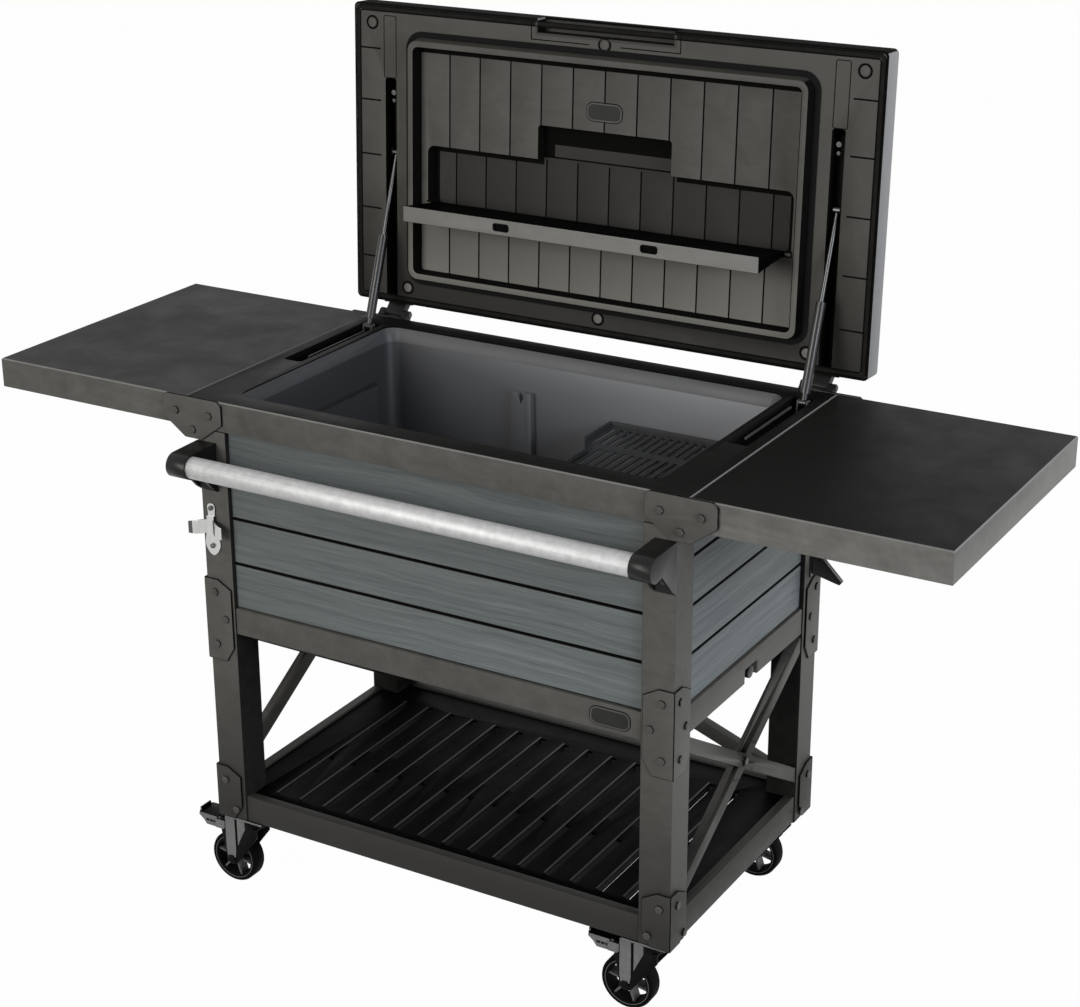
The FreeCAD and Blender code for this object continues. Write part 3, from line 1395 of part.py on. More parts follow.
def write_fittings():
    save("hinge_plates", four_corners(hinge_plate()))
    save("wing_pivots", four_corners(wing_pivot()))
    save("handle_tube", handle_tube())
    save("handle_brackets", both_ends(handle_bracket()))
    save("bottle_opener", bottle_opener())
    save("wing_catches", both_ends(wing_catch()))
    save("spring_anchors", both_ends(spring_anchor()))
    save("lid_hinge_brackets", both_ends(lid_hinge_bracket()))
    save("lid_hinge_pins", both_ends(lid_hinge_pin()))


def write_lid():
    save("lid_shell", lid_shell())
    save("lid_liner", lid_liner())
    save("lid_seal", lid_seal())
    save("lid_plugs", lid_plugs())
    save("lid_shelf", lid_shelf())
    save("lid_hinge_arms", both_ends(lid_hinge_arm()))
    save("lid_spring_brackets", both_ends(lid_spring_bracket()))
    for side, place in (("right", lambda s: s), ("left", in_x)):
        save("spring_cylinder_" + side, [place(spring_cylinder())])
        save("spring_rod_" + side, [place(spring_rod())])


def write_wings():
    for side, place in (("right", lambda s: s), ("left", in_x)):
        save("wing_" + side, [place(wing())])
        save("wing_latch_" + side, [place(wing_latch())])


def write_casters():
    save("caster_plates", four_corners(caster_plate()))
    for end, y in (("front", -caster_y), ("back", caster_y)):
        for side, x in (("left", -caster_x), ("right", caster_x)):
            name = end + "_" + side
            save("caster_fork_" + name, [caster_fork(x, y, end == "front")])
            save("wheel_" + name, [wheel(x, y)])
            if end == "front":
                save("brake_pedal_" + name, [brake_pedal(x, y)])


os.makedirs("parts", exist_ok=True)
write_frame()
write_cooler()
write_fittings()
write_lid()
write_wings()
write_casters()
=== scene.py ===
import bpy
import bmesh
import json
import math
from mathutils import Matrix, Vector


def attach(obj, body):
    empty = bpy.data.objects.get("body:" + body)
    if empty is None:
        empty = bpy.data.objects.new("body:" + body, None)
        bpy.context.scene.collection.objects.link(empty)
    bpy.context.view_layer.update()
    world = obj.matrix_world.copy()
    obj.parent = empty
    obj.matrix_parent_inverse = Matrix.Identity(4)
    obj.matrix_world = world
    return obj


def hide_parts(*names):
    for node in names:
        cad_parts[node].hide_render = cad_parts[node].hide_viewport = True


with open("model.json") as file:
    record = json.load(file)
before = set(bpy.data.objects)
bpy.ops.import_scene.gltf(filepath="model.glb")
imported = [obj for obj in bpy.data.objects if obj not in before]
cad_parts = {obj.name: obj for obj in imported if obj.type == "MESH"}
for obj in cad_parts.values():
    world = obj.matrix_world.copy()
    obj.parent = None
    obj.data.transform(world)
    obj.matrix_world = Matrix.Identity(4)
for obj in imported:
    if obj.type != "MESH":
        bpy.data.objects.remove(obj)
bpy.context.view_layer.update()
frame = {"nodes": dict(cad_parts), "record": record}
record = frame["record"]
bodyOf = {node: body for body, nodes in record["behaviour"]["bodies"].items() for node in nodes}
slotOf = {part["node"]: part["material_slot"] for part in record["subparts"]}
joints = {joint["name"]: joint for joint in record["behaviour"]["joints"]}
jointPlace = {name: Vector(joint["pos_m"]) for name, joint in joints.items() if joint.get("pos_m")}


def named(start):
    return tuple(node for node in bodyOf if node.startswith(start))


def addObject(name, data, place=Matrix()):
    made = bpy.data.objects.new(name, data)
    bpy.context.scene.collection.objects.link(made)
    made.matrix_world = place
    return made


# Camera, floor and light

view = {
    "azimuth": 30.46,  # degrees round from the front, towards the right
    "elevation": 21.61,
    "roll": -0.26,
    "lens": 75.44,
    "film": 36,
    "farthest": 100,
    "place": (1.8512, -3.0561, 2.1504),
}


def placeCamera():
    data = bpy.data.cameras.new("photoCamera")
    data.lens = view["lens"]
    data.sensor_width = view["film"]
    data.sensor_fit = "HORIZONTAL"
    data.clip_end = view["farthest"]
    turn = (Matrix.Rotation(math.radians(view["azimuth"]), 4, "Z")
            @ Matrix.Rotation(math.radians(90 - view["elevation"]), 4, "X")
            @ Matrix.Rotation(math.radians(view["roll"]), 4, "Z"))
    bpy.context.scene.camera = addObject("photoCamera", data, Matrix.Translation(view["place"]) @ turn)


lamps = {
    # name: place, size across, watts, colour
    "keyFront": ((-1.6, -4.4, 2.3), 2.5, 140, (1.0, 0.985, 0.95)),
    "keyRight": ((4.6, -1.5, 2.2), 2.5, 122, (0.92, 0.98, 1.07)),
    "rimBack": ((3.5, 3.8, 1.8), 2.5, 90, (1, 1, 1)),
}
studio = {
    "worldLight": 0.18,
    "aim": (0, 0, 0.7),
    "floorHalf": 45,
    "floorGrey": 0.4,    # the floor's paint, which keeps the shadow
    "floorRough": 0.9,
    "floorHaze": 0.985,  # share of plain white that the eye sees over it
}


def seenDirectly(finish):
    # 1 where the eye, a mirror or glass looks at it, 0 where it only lights the object
    rays = finish.node("ShaderNodeLightPath")
    eye = rays.out("Is Camera Ray")
    return eye.maths("MAXIMUM", rays.out("Is Glossy Ray")).maths("MAXIMUM", rays.out("Is Transmission Ray"))


def lightStudio():
    for name, (place, size, watts, colour) in lamps.items():
        data = bpy.data.lights.new(name, "AREA")
        data.shape = "DISK"
        data.size = size
        data.energy = watts
        data.color = colour
        way = Vector(studio["aim"]) - Vector(place)
        addObject(name, data, Matrix.Translation(place) @ way.to_track_quat("-Z", "Y").to_matrix().to_4x4())
    world = bpy.data.worlds.new("studioWorld")
    world.use_nodes = True
    bpy.context.scene.world = world
    sky = Finish("studioWorld", world.node_tree)
    seen = seenDirectly(sky)
    background = world.node_tree.nodes["Background"]
    sky.link(seen * (1 - studio["worldLight"]) + studio["worldLight"], background.inputs["Strength"])
    background.inputs["Color"].default_value = (1, 1, 1, 1)


def layFloor():
    shape = bmesh.new()
    bmesh.ops.create_grid(shape, x_segments=1, y_segments=1, size=studio["floorHalf"])
    floor = makeObject("studioFloor", shape)
    pale = Finish("paleFloor")
    pale.set(BaseColor=(studio["floorGrey"],) * 3, Roughness=studio["floorRough"])
    glow = pale.node("ShaderNodeEmission", values={"Color": (1, 1, 1, 1), "Strength": 1.0})
    share = seenDirectly(pale) * studio["floorHaze"]
    mixed = pale.node("ShaderNodeMixShader", values={0: share, 1: pale.shader, 2: glow})
    pale.link(mixed, pale.output.inputs["Surface"])
    floor.data.materials.append(pale.material)


# Material helpers

class Wire:
    # one output socket, so that masks read as plain sums
    def __init__(self, finish, socket):
        self.finish, self.socket = finish, socket

    def out(self, name):
        return Wire(self.finish, self.socket.node.outputs[name])

    def maths(self, kind, *others):
        return self.finish.node("ShaderNodeMath", {"operation": kind}, dict(enumerate((self,) + others)))

    def __add__(self, other):
        return self.maths("ADD", other)

    def __mul__(self, other):
        return self.maths("MULTIPLY", other)

    def __sub__(self, other):
        return self.maths("SUBTRACT", other)

    def __rsub__(self, other):
        return (self * -1) + other

    def __truediv__(self, other):
        return self.maths("DIVIDE", other)

    def __gt__(self, other):
        return self.maths("GREATER_THAN", other)

    def between(self, low, high, start=0.0, end=1.0):
        # goes from start at low to end at high, held at both ends
        return self.finish.node("ShaderNodeMapRange", {"clamp": True},
                                {"Value": self, "From Min": low, "From Max": high,
                                 "To Min": start, "To Max": end})


class Finish:
    def __init__(self, name, tree=None, **shader):
        if tree is None:
            self.material = bpy.data.materials.new(name)
            self.material.use_nodes = True
            tree = self.material.node_tree
            self.surface = tree.nodes["Principled BSDF"]
            self.output = tree.nodes["Material Output"]
            self.shader = Wire(self, self.surface.outputs[0])
        self.tree = tree
        self.set(**shader)

    def link(self, value, socket):
        if isinstance(value, Wire):
            self.tree.links.new(value.socket, socket)
        elif hasattr(socket.default_value, "__len__") and not hasattr(value, "__len__"):
            socket.default_value = (value,) * len(socket.default_value)
        else:
            socket.default_value = value

    def node(self, kind, settings=None, values=None):
        made = self.tree.nodes.new(kind)
        for name, value in (settings or {}).items():
            setattr(made, name, value)
        for name, value in (values or {}).items():
            self.link(value, made.inputs[name])
        return Wire(self, made.outputs[0])

    def set(self, **shader):
        # shader sockets by name, with spaces left out
        for name, value in shader.items():
            socket = next(s for s in self.surface.inputs if s.name.replace(" ", "") == name)
            if name.endswith("Color") and not isinstance(value, Wire):
                value = tuple(value) + (1,)
            self.link(value, socket)

    def place(self, scale=(1, 1, 1)):
        where = self.node("ShaderNodeTexCoord").out("Object")
        return self.node("ShaderNodeMapping", None, {"Vector": where, "Scale": scale})

    def axes(self):
        where = self.node("ShaderNodeTexCoord").out("Object")
        split = self.node("ShaderNodeSeparateXYZ", None, {0: where})
        return split.out("X"), split.out("Y"), split.out("Z")

    def noise(self, size, where=None, detail=3.0, rough=0.5, twist=0.0):
        # size is the width of one patch, in metres
        return self.node("ShaderNodeTexNoise", None,
                         {"Vector": where or self.place(), "Scale": 1 / size, "Detail": detail,
                          "Roughness": rough, "Distortion": twist})

    def mixColour(self, factor, first, second, way="MIX"):
        made = self.tree.nodes.new("ShaderNodeMix")
        made.data_type = "RGBA"
        made.blend_type = way
        for name, value in (("Factor_Float", factor), ("A_Color", first), ("B_Color", second)):
            socket = next(s for s in made.inputs if s.identifier == name)
            if not isinstance(value, (Wire, float, int)):
                value = tuple(value) + (1,)
            self.link(value, socket)
        return Wire(self, next(s for s in made.outputs if s.identifier == "Result_Color"))

    def shades(self, factor, colour, dark, pale):
        # from a dark to a pale share of the colour
        return self.mixColour(factor, scaled(colour, dark), scaled(colour, pale))

    def stripes(self, x, y, z, rough=0.6, detail=3.0):
        # noise at a place that is put together from three values
        at = self.node("ShaderNodeCombineXYZ", None, {"X": x, "Y": y, "Z": z})
        return self.node("ShaderNodeTexNoise", None,
                         {"Vector": at, "Scale": 1.0, "Detail": detail, "Roughness": rough})

    def done(self, colour, rough, height, depth):
        # the relief is depth metres deep for a height of 1
        relief = self.node("ShaderNodeBump", None, {"Height": height, "Distance": depth, "Strength": 1.0})
        self.set(BaseColor=colour, Roughness=rough, Normal=relief)
        return self.material


def grey(level, warm=0.0, cool=0.0):
    # photographed 0-255 level to scene colour: warm turns it brown, cool turns it sea grey
    shifts = (warm - cool, warm * 0.35 + cool * 0.3, cool * 0.35 - warm)
    return tuple((max(level + shift, 1) / 255) ** 2.2 for shift in shifts)


def scaled(colour, factor):
    return tuple(c * factor for c in colour)


# Finishes: each maker's fixed values stand in the dictionary above it

resin = {
    "sheen": 0.16,        # specular level
    "rough": 0.48,
    "roughGain": 0.14,    # on the pale patches
    "contrast": 0.2,
    "patch": 0.05,        # metres across a cloudy patch
    "streak": 0.012,      # and a wiped streak, which is longer along X
    "streakStretch": (0.35, 1, 1),
    "streakShare": 0.35,
    "spread": (0.36, 0.66),
    "grainSize": 0.0012,
    "pitSize": 0.00312,
    "pitShare": 0.7,
    "grainDepth": 0.00012,
    "footHeights": (0.17, 0.445),  # painted shade: the posts grow darker from the table down to the lower one
    "footShare": 0.33,
    "lidHeights": (1.02, 1.2),     # and painted light makes the lid's inside lighter towards its hinges
}


def mouldedResin(name, level, warm, contrast=resin["contrast"], faded=False, lowGain=0):
    # rubbed brown grey moulding: cloudy patches, fine scuffs and a leathery grain
    finish = Finish(name, SpecularIORLevel=resin["sheen"])
    base = grey(level, warm)
    clouds = finish.noise(resin["patch"], detail=5, rough=0.62, twist=0.6)
    streaks = finish.noise(resin["streak"], finish.place(resin["streakStretch"]), detail=4, rough=0.6)
    share = resin["streakShare"]
    cloudy = (clouds * (1 - share) + streaks * share).between(*resin["spread"])
    colour = finish.shades(cloudy, base, 1 - contrast, 1 + contrast)
    height = finish.axes()[2]
    # painted shade, darker towards the floor
    if faded:
        share = height.between(*resin["footHeights"])
        colour = finish.mixColour(share, scaled(base, resin["footShare"]), colour)
    # painted light, lighter low on the lid's inside
    if lowGain:
        share = height.between(*resin["lidHeights"])
        colour = finish.mixColour(share, scaled(base, lowGain), colour)
    pits = finish.noise(resin["pitSize"], detail=2, rough=0.7)
    fine = finish.noise(resin["grainSize"], detail=1)
    relief = pits * resin["pitShare"] + fine * (1 - resin["pitShare"])
    return finish.done(colour, cloudy * resin["roughGain"] + resin["rough"], relief, resin["grainDepth"])


planking = {
    "light": (120, 0, 4), "dark": (90, 0, 4),
    "pitch": 0.0825, "bottom": 0.557, "top": 0.878,
    "topShade": 0.72,      # painted shade: the boards are darker under the deck
    "rowShift": 1.71,      # metres that the grain is moved on from board to board
    "sideShift": 3.7,      # and from one side of the table to the other
    "sway": (3.2, 9),      # waves of a drawn out pattern, a metre along and a metre up
    "swayReach": 0.05,
    "bands": (1.4, 95),
    "bandShare": 0.55,
    "fibres": (11, 520),
    "spread": (0.34, 0.66),
    "rough": 0.62, "roughGain": 0.1, "grainDepth": 0.0005,
}


def grainedPlank(name, along):
    # wood grain pressed into blue grey resin, a new run of grain on every board, with painted shade under
    # the deck
    p = planking
    finish = Finish(name, SpecularIORLevel=resin["sheen"])
    x, y, z = finish.axes()
    run, across = (x, y) if along == "x" else (y, x)
    row = ((z - p["bottom"]) / p["pitch"]).maths("FLOOR")
    side = (across > 0) * p["sideShift"]
    run = run + row * p["rowShift"] + side
    sway = finish.stripes(run * p["sway"][0], row + side, z * p["sway"][1], rough=0.5, detail=2.0)
    bands = finish.stripes(run * p["bands"][0], row, (z + sway * p["swayReach"]) * p["bands"][1])
    fibres = finish.stripes(run * p["fibres"][0], row, z * p["fibres"][1])
    tone = (bands * p["bandShare"] + fibres * (1 - p["bandShare"])).between(*p["spread"])
    plain = finish.mixColour(tone, grey(*p["dark"]), grey(*p["light"]))
    shade = z.between(p["bottom"], p["top"], 1.0, p["topShade"])
    shadeColour = finish.node("ShaderNodeCombineXYZ", None, {"X": shade, "Y": shade, "Z": shade})
    return finish.done(finish.mixColour(1.0, plain, shadeColour, "MULTIPLY"),
                       p["rough"] - tone * p["roughGain"], tone, p["grainDepth"])


border = {
    "contrast": 0.12,
    "heights": (0.95, 1.2),
    "lowShare": 0.3,
    "rough": 0.48, "roughGain": 0.12, "grainSize": 0.0024, "grainDepth": 0.0001,
}


def borderResin(name, level, warm):
    # the lid's border, with painted shade down by the hinges
    finish = Finish(name, SpecularIORLevel=resin["sheen"])
    base = grey(level, warm)
    height = finish.axes()[2].between(*border["heights"])
    clouds = finish.noise(resin["patch"], detail=5, rough=0.62, twist=0.6).between(*resin["spread"])
    cloudy = finish.shades(clouds, base, 1 - border["contrast"], 1 + border["contrast"])
    fine = finish.noise(border["grainSize"], detail=2)
    return finish.done(finish.mixColour(height, scaled(base, border["lowShare"]), cloudy),
                       clouds * border["roughGain"] + border["rough"], fine, border["grainDepth"])


liner = {
    "sheen": 0.3,
    "ends": (-0.38, 0.38),
    "leftShare": 0.55, "rightShare": 3.5,
    "patch": 0.08, "spread": (0.32, 0.68), "rough": 0.42, "roughGain": 0.1,
    "grainSize": 0.0018, "grainDepth": 0.00004,
}


def tubResin(name, level, warm):
    # cool grey liner, with painted shade towards its left end and painted light towards its right
    finish = Finish(name, SpecularIORLevel=liner["sheen"])
    base = grey(level, warm)
    along = finish.axes()[0].between(*liner["ends"])
    clouds = finish.noise(liner["patch"], detail=3).between(*liner["spread"])
    fine = finish.noise(liner["grainSize"], detail=2)
    return finish.done(finish.shades(along, base, liner["leftShare"], liner["rightShare"]),
                       clouds * liner["roughGain"] + liner["rough"], fine, liner["grainDepth"])


plain = {
    # patch: metres across, detail and roughness of the noise; grain: metres across and deep
    "plastic": {"patch": (0.06, 4, 0.55), "spread": (0.32, 0.68), "tones": (0.9, 1.1), "sheen": 0.3,
                "roughGain": 0.1, "grain": (0.0018, 0.00005)},
    "coat": {"patch": (0.02, 5, 0.7), "spread": (0.35, 0.7), "tones": (0.85, 1.18), "sheen": 0.18,
             "roughGain": 0.12, "grain": (0.0022, 0.00008)},
    "rubber": {"patch": (0.015, 5, 0.7), "spread": (0.4, 0.75), "tones": (1, 1.6), "sheen": 0.05,
               "roughGain": 0.12, "grain": (0.0012, 0.0001)},
}


def plainFinish(kind, name, level, rough, warm=0, contrast=0, sheen=None, metallic=0.0):
    # smooth plastic, powder coat or rubber, a little rubbed
    k = plain[kind]
    size, detail, uneven = k["patch"]
    dark, pale = (1 - contrast, 1 + contrast) if contrast else k["tones"]
    finish = Finish(name, SpecularIORLevel=k["sheen"] if sheen is None else sheen, Metallic=metallic)
    rubbed = finish.noise(size, detail=detail, rough=uneven).between(*k["spread"])
    fine = finish.noise(k["grain"][0], detail=2)
    return finish.done(finish.shades(rubbed, grey(level, warm), dark, pale),
                       rubbed * k["roughGain"] + (rough - k["roughGain"] / 2), fine, k["grain"][1])


scuffs = {
    "sheen": 0.07, "warm": 0.5,
    "patch": 0.09, "patchShare": 0.7, "patchSpread": (0.35, 0.68),
    "scratch": 0.004, "scratchStretch": 0.06, "scratchSpread": (0.56, 0.78), "scratchDepth": 0.00006,
    "dark": 0.82, "pale": 1.28,
    "frontToBack": (-0.27, 0.27),
    "rough": 0.6, "roughGain": 0.1,
}


def scuffedTop(name, level, backShare=1.0):
    # table top: dark, with hairline scratches and wiped patches, and a painted reflection that makes it
    # darker towards the back or the front
    finish = Finish(name, SpecularIORLevel=scuffs["sheen"])
    base = grey(level, scuffs["warm"])
    wiped = finish.noise(scuffs["patch"], detail=4, rough=0.6, twist=0.4).between(*scuffs["patchSpread"])
    thin, size = scuffs["scratchStretch"], scuffs["scratch"]
    scratches = finish.noise(size, finish.place((thin, 1, 1)), detail=3, rough=0.6)
    crossed = finish.noise(size, finish.place((1, thin, 1)), detail=3, rough=0.6)
    marks = scratches.maths("MAXIMUM", crossed).between(*scuffs["scratchSpread"])
    tone = wiped * scuffs["patchShare"] + marks * (1 - scuffs["patchShare"])
    front = finish.shades(tone, base, scuffs["dark"], scuffs["pale"])
    back = finish.mixColour(1.0, front, (backShare,) * 3, "MULTIPLY")
    depth = finish.axes()[1].between(*scuffs["frontToBack"])
    return finish.done(finish.mixColour(depth, front, back),
                       scuffs["rough"] - wiped * scuffs["roughGain"], marks, scuffs["scratchDepth"])


brush = {"lineDepth": 0.00003, "lineGain": 0.18, "lineShare": 0.5, "spread": (0.3, 0.7)}


def brushedMetal(name, colour, rough, scale, patch=0.02, depth=0.18):
    # fine brush lines: scale squeezes the noise across the lines
    finish = Finish(name, Metallic=1.0)
    lines = finish.node("ShaderNodeTexNoise", None, {"Vector": finish.place(scale), "Scale": 1.0,
                                                     "Detail": 4.0, "Roughness": 0.7})
    clouds = finish.noise(patch, detail=4).between(*brush["spread"])
    share = brush["lineShare"]
    tone = lines.between(*brush["spread"]) * share + clouds * (1 - share)
    return finish.done(finish.shades(tone, colour, 1 - depth, 1),
                       lines * brush["lineGain"] + (rough - brush["lineGain"] / 2),
                       lines, brush["lineDepth"])


recess = {"sheen": 0.08, "rough": 0.9, "patch": 0.02, "spread": (0.35, 0.7), "dark": 0.8, "pale": 1.2}


def recessBlack(name, level):
    # shut lines and deep recesses, where the moulding's shadow gathers
    finish = Finish(name, SpecularIORLevel=recess["sheen"], Roughness=recess["rough"])
    dust = finish.noise(recess["patch"], detail=3).between(*recess["spread"])
    finish.set(BaseColor=finish.shades(dust, grey(level, 1), recess["dark"], recess["pale"]))
    return finish.material


foam = {
    "cells": 900.0, "wall": (0.42, 0.37, 0.22), "face": (0.62, 0.56, 0.38), "spread": (0, 0.6),
    "rough": 0.9, "depth": 0.0003,
}


def foamFinish(name):
    finish = Finish(name)
    cells = finish.node("ShaderNodeTexVoronoi", None, {"Vector": finish.place(), "Scale": foam["cells"]})
    return finish.done(finish.mixColour(cells.between(*foam["spread"]), foam["wall"], foam["face"]),
                       foam["rough"], cells, foam["depth"])


def makeFinishes():
    # levels are those of the photograph, 0 to 255: a warmth follows for mouldings, a roughness for the
    # plain kinds, and brushed metals have their own colour instead
    trim = {"contrast": 0.08}
    made = {
        # the record's slots
        "frame_brown": mouldedResin("brownGreyResin", 79, 2.5, faded=True),
        "top_brown": mouldedResin("skirtResin", 103, 2.5),
        "lid_outer": mouldedResin("lidOuterResin", 132, 0, contrast=0.1),
        "lid_inner": mouldedResin("lidInnerResin", 80, 3, contrast=0.14, lowGain=2.0),
        "dark_metal": mouldedResin("cornerPlateCoat", 80, 2.5, contrast=0.14, faded=True),
        "plank_grey": grainedPlank("plankLong", "x"),
        "tub_grey": tubResin("tubResin", 76, -1.5),
        "tray_grey": plainFinish("plastic", "trayResin", 74, 0.5, warm=-1, sheen=0.15),
        "black_plastic": plainFinish("plastic", "satinBlack", 24, 0.34, warm=0.5, contrast=0.05, sheen=0.2),
        "dark_hardware": plainFinish("coat", "boltCoat", 72, 0.45, warm=2.5),
        "spring_black": plainFinish("plastic", "springPaint", 26, 0.3, contrast=0.05, sheen=0.4),
        "spring_steel": brushedMetal("springRodSteel", (0.07,) * 3, 0.3, (600, 600, 40)),
        "foam": foamFinish("closedCellFoam"),
        "seal_rubber": plainFinish("rubber", "sealRubber", 28, 0.8),
        "handle_aluminium": brushedMetal("brushedHandle", (0.53,) * 3, 0.62, (30, 900, 900),
                                         patch=0.012, depth=0.3),
        "opener_steel": brushedMetal("openerSteel", (0.6, 0.6, 0.59), 0.3, (500, 300, 60)),
        # painted shade: the caster's steel is near black, where only the pale trims and faces look lit
        "caster_steel": plainFinish("coat", "casterCoat", 12, 0.45, sheen=0.06),
        "tyre_black": plainFinish("rubber", "tyreRubber", 8, 0.75),
        # and those of single faces and small pieces
        "plankEnd": grainedPlank("plankEnd", "y"),
        # painted shade: the tops are darker than the skirts of the same mouldings, and the wings' tops
        # differ by painted reflection
        "deckTop": scuffedTop("deckTop", 23),
        "wingTopLeft": scuffedTop("wingTopLeft", 69, 0.42),
        "wingTopRight": scuffedTop("wingTopRight", 22, 1.7),
        # painted shade: the left wing's and the deck's skirts take this darker copy, the right wing's keep
        # the lighter slot finish
        "skirtDull": mouldedResin("skirtDull", 82, 2.5),
        # painted highlight on the tops' rounded edges
        "rubbedEdge": mouldedResin("rubbedEdge", 122, 2, contrast=0.1),
        "lidBorder": borderResin("lidBorderResin", 72, 3),
        # painted shade on the lid's ring walls, grip and pocket floor
        "ringWall": mouldedResin("ringWall", 58, 2.5, **trim),
        "pocketFloor": mouldedResin("pocketFloorResin", 46, 2, **trim),
        "shelfLip": mouldedResin("shelfLipResin", 122, 3, **trim),
        # black of dark joints and of painted shade
        "jointBlack": recessBlack("jointBlack", 14),
        "softBlack": recessBlack("softBlack", 34),
        "shelfBlack": plainFinish("plastic", "shelfBlack", 9, 0.55, contrast=0.05, sheen=0.03),
        "ribEdge": plainFinish("plastic", "ribEdge", 70, 0.5, sheen=0.1),
        "tubRim": plainFinish("plastic", "tubRim", 80, 0.45, warm=-1, **trim),
        "hingeDark": plainFinish("coat", "hingeDark", 30, 0.5),
        "badge": plainFinish("plastic", "badgePlate", 46, 0.4, warm=1, sheen=0.12, **trim),
        "badgeRim": plainFinish("plastic", "badgeRim", 82, 0.4, warm=1, sheen=0.15, **trim),
        "openerShade": brushedMetal("openerShade", (0.1,) * 3, 0.35, (500, 300, 60)),
        "openerScrew": plainFinish("coat", "openerScrew", 96, 0.3, metallic=0.6),
        "springBar": brushedMetal("springBar", (0.32,) * 3, 0.4, (60, 60, 500)),
        "casterDark": plainFinish("coat", "casterDark", 58, 0.45),
        "casterPale": plainFinish("coat", "casterPale", 112, 0.42),
        "wheelRim": plainFinish("plastic", "wheelRim", 92, 0.4, sheen=0.2),
    }
    print("finishes:", len(made))
    return made


# Mesh helpers

def makeObject(name, shape, smooth=True):
    mesh = bpy.data.meshes.new(name)
    shape.to_mesh(mesh)
    shape.free()
    for face in mesh.polygons:
        face.use_smooth = smooth
    return addObject(name, mesh)


def pieceName(node, before=""):
    words = ([before] if before else []) + node.split("_")
    return words[0] + "".join(word.capitalize() for word in words[1:])


def mergedCopy(node):
    # the node's triangles, joined up and with flat faces whole again
    shape = bmesh.new()
    shape.from_mesh(frame["nodes"][node].data)
    bmesh.ops.remove_doubles(shape, verts=shape.verts, dist=2e-6)
    bmesh.ops.dissolve_limit(shape, angle_limit=math.radians(0.5), verts=shape.verts, edges=shape.edges)
    return shape


def roundEdges(piece, width, segments, finish):
    bevel = piece.modifiers.new("edgeRound", "BEVEL")
    bevel.width = width
    bevel.segments = segments
    bevel.material = finish
    bevel.limit_method = "ANGLE"
    bevel.angle_limit = math.radians(28)
    bevel.harden_normals = True


def makePiece(name, shape, node, finishNames, edge=0, segments=1, edgeFinish=-1, instead=False):
    # rides on the node's body and takes the named finishes; instead hides the node, which the piece stands
    # for
    piece = makeObject(name, shape, smooth=edge > 0)
    if edge:
        roundEdges(piece, edge, segments, edgeFinish)
    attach(piece, bodyOf[node])
    for finish in finishNames:
        piece.data.materials.append(finishes[finish])
    if instead:
        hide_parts(node)


def known(shape):
    return set(shape.faces)


def colourNew(shape, before, finish):
    for face in shape.faces:
        if face not in before:
            face.material_index = finish


def corners(made):
    return [element for element in made["geom"] if isinstance(element, bmesh.types.BMVert)]


def prism(shape, outline, depth, finish=0):
    # flat outline pushed along depth to a closed block, gives its corners
    before = known(shape)
    face = shape.faces.new([shape.verts.new(corner) for corner in outline])
    base = list(face.verts)
    pushed = corners(bmesh.ops.extrude_face_region(shape, geom=[face]))
    bmesh.ops.translate(shape, vec=depth, verts=pushed)
    colourNew(shape, before, finish)
    return base + pushed


def block(shape, xs, ys, zs, finish=0):
    # box between two values along each axis
    (x0, x1), (y0, y1), (z0, z1) = xs, ys, zs
    prism(shape, [(x0, y0, z0), (x1, y0, z0), (x1, y1, z0), (x0, y1, z0)], (0, 0, z1 - z0), finish)


def turned(shape, profile, place, steps, finish=0):
    # closed outline of (radius, along) corners spun round the Y axis through the place
    before = known(shape)
    ring = [shape.verts.new(place + Vector((radius, along, 0))) for radius, along in profile]
    edges = [shape.edges.new((ring[i - 1], ring[i])) for i in range(len(ring))]
    bmesh.ops.spin(shape, geom=ring + edges, cent=place, axis=(0, 1, 0), angle=2 * math.pi,
                   steps=steps, use_merge=True)
    colourNew(shape, before, finish)


def roundedPlate(shape, centre, halfX, halfY, radius):
    # one flat face with rounded corners
    made = bmesh.ops.create_grid(shape, x_segments=1, y_segments=1, size=1)["verts"]
    place = Matrix.Translation((*centre, 0)) @ Matrix.Diagonal((halfX, halfY, 1, 1))
    bmesh.ops.transform(shape, matrix=place, verts=made)
    before = known(shape) - {made[0].link_faces[0]}
    bmesh.ops.bevel(shape, geom=made, offset=radius, segments=6, profile=0.5, affect="VERTICES",
                    material=-1)
    return next(face for face in shape.faces if face not in before)


def raised(shape, outline, height, width=0, finish=0):
    # plate on a rounded outline (centre, halfX, halfY, radius), or only a rim of that width
    before = known(shape)
    faces = [roundedPlate(shape, *outline)]
    if width:
        rim = bmesh.ops.inset_region(shape, faces=faces, thickness=width, use_boundary=True,
                                     use_even_offset=True)["faces"]
        bmesh.ops.delete(shape, geom=faces, context="FACES_ONLY")
        faces = rim
    top = corners(bmesh.ops.extrude_face_region(shape, geom=faces))
    bmesh.ops.translate(shape, vec=(0, 0, height), verts=top)
    colourNew(shape, before, finish)


def closeUp(shape, place=None):
    # carried to its place, with all its faces pointing outwards
    if place:
        bmesh.ops.transform(shape, matrix=place, verts=shape.verts)
    bmesh.ops.recalc_face_normals(shape, faces=shape.faces)
    return shape


# The open lid

lidPlace = {
    "half": 0.513, "front": -0.2715, "back": 0.272, "border": 0.933, "panel": 0.939, "shellWall": 0.0043,
}
lidAxis = jointPlace["lid_hinge"]
openLid = (Matrix.Translation(lidAxis)
           @ Matrix.Rotation(math.radians(min(joints["lid_hinge"]["range_deg"])), 4, "X")
           @ Matrix.Translation(-lidAxis))
shutLid = openLid.inverted()


# Which faces of a piece take another than its first finish: at is a face's middle and way its normal

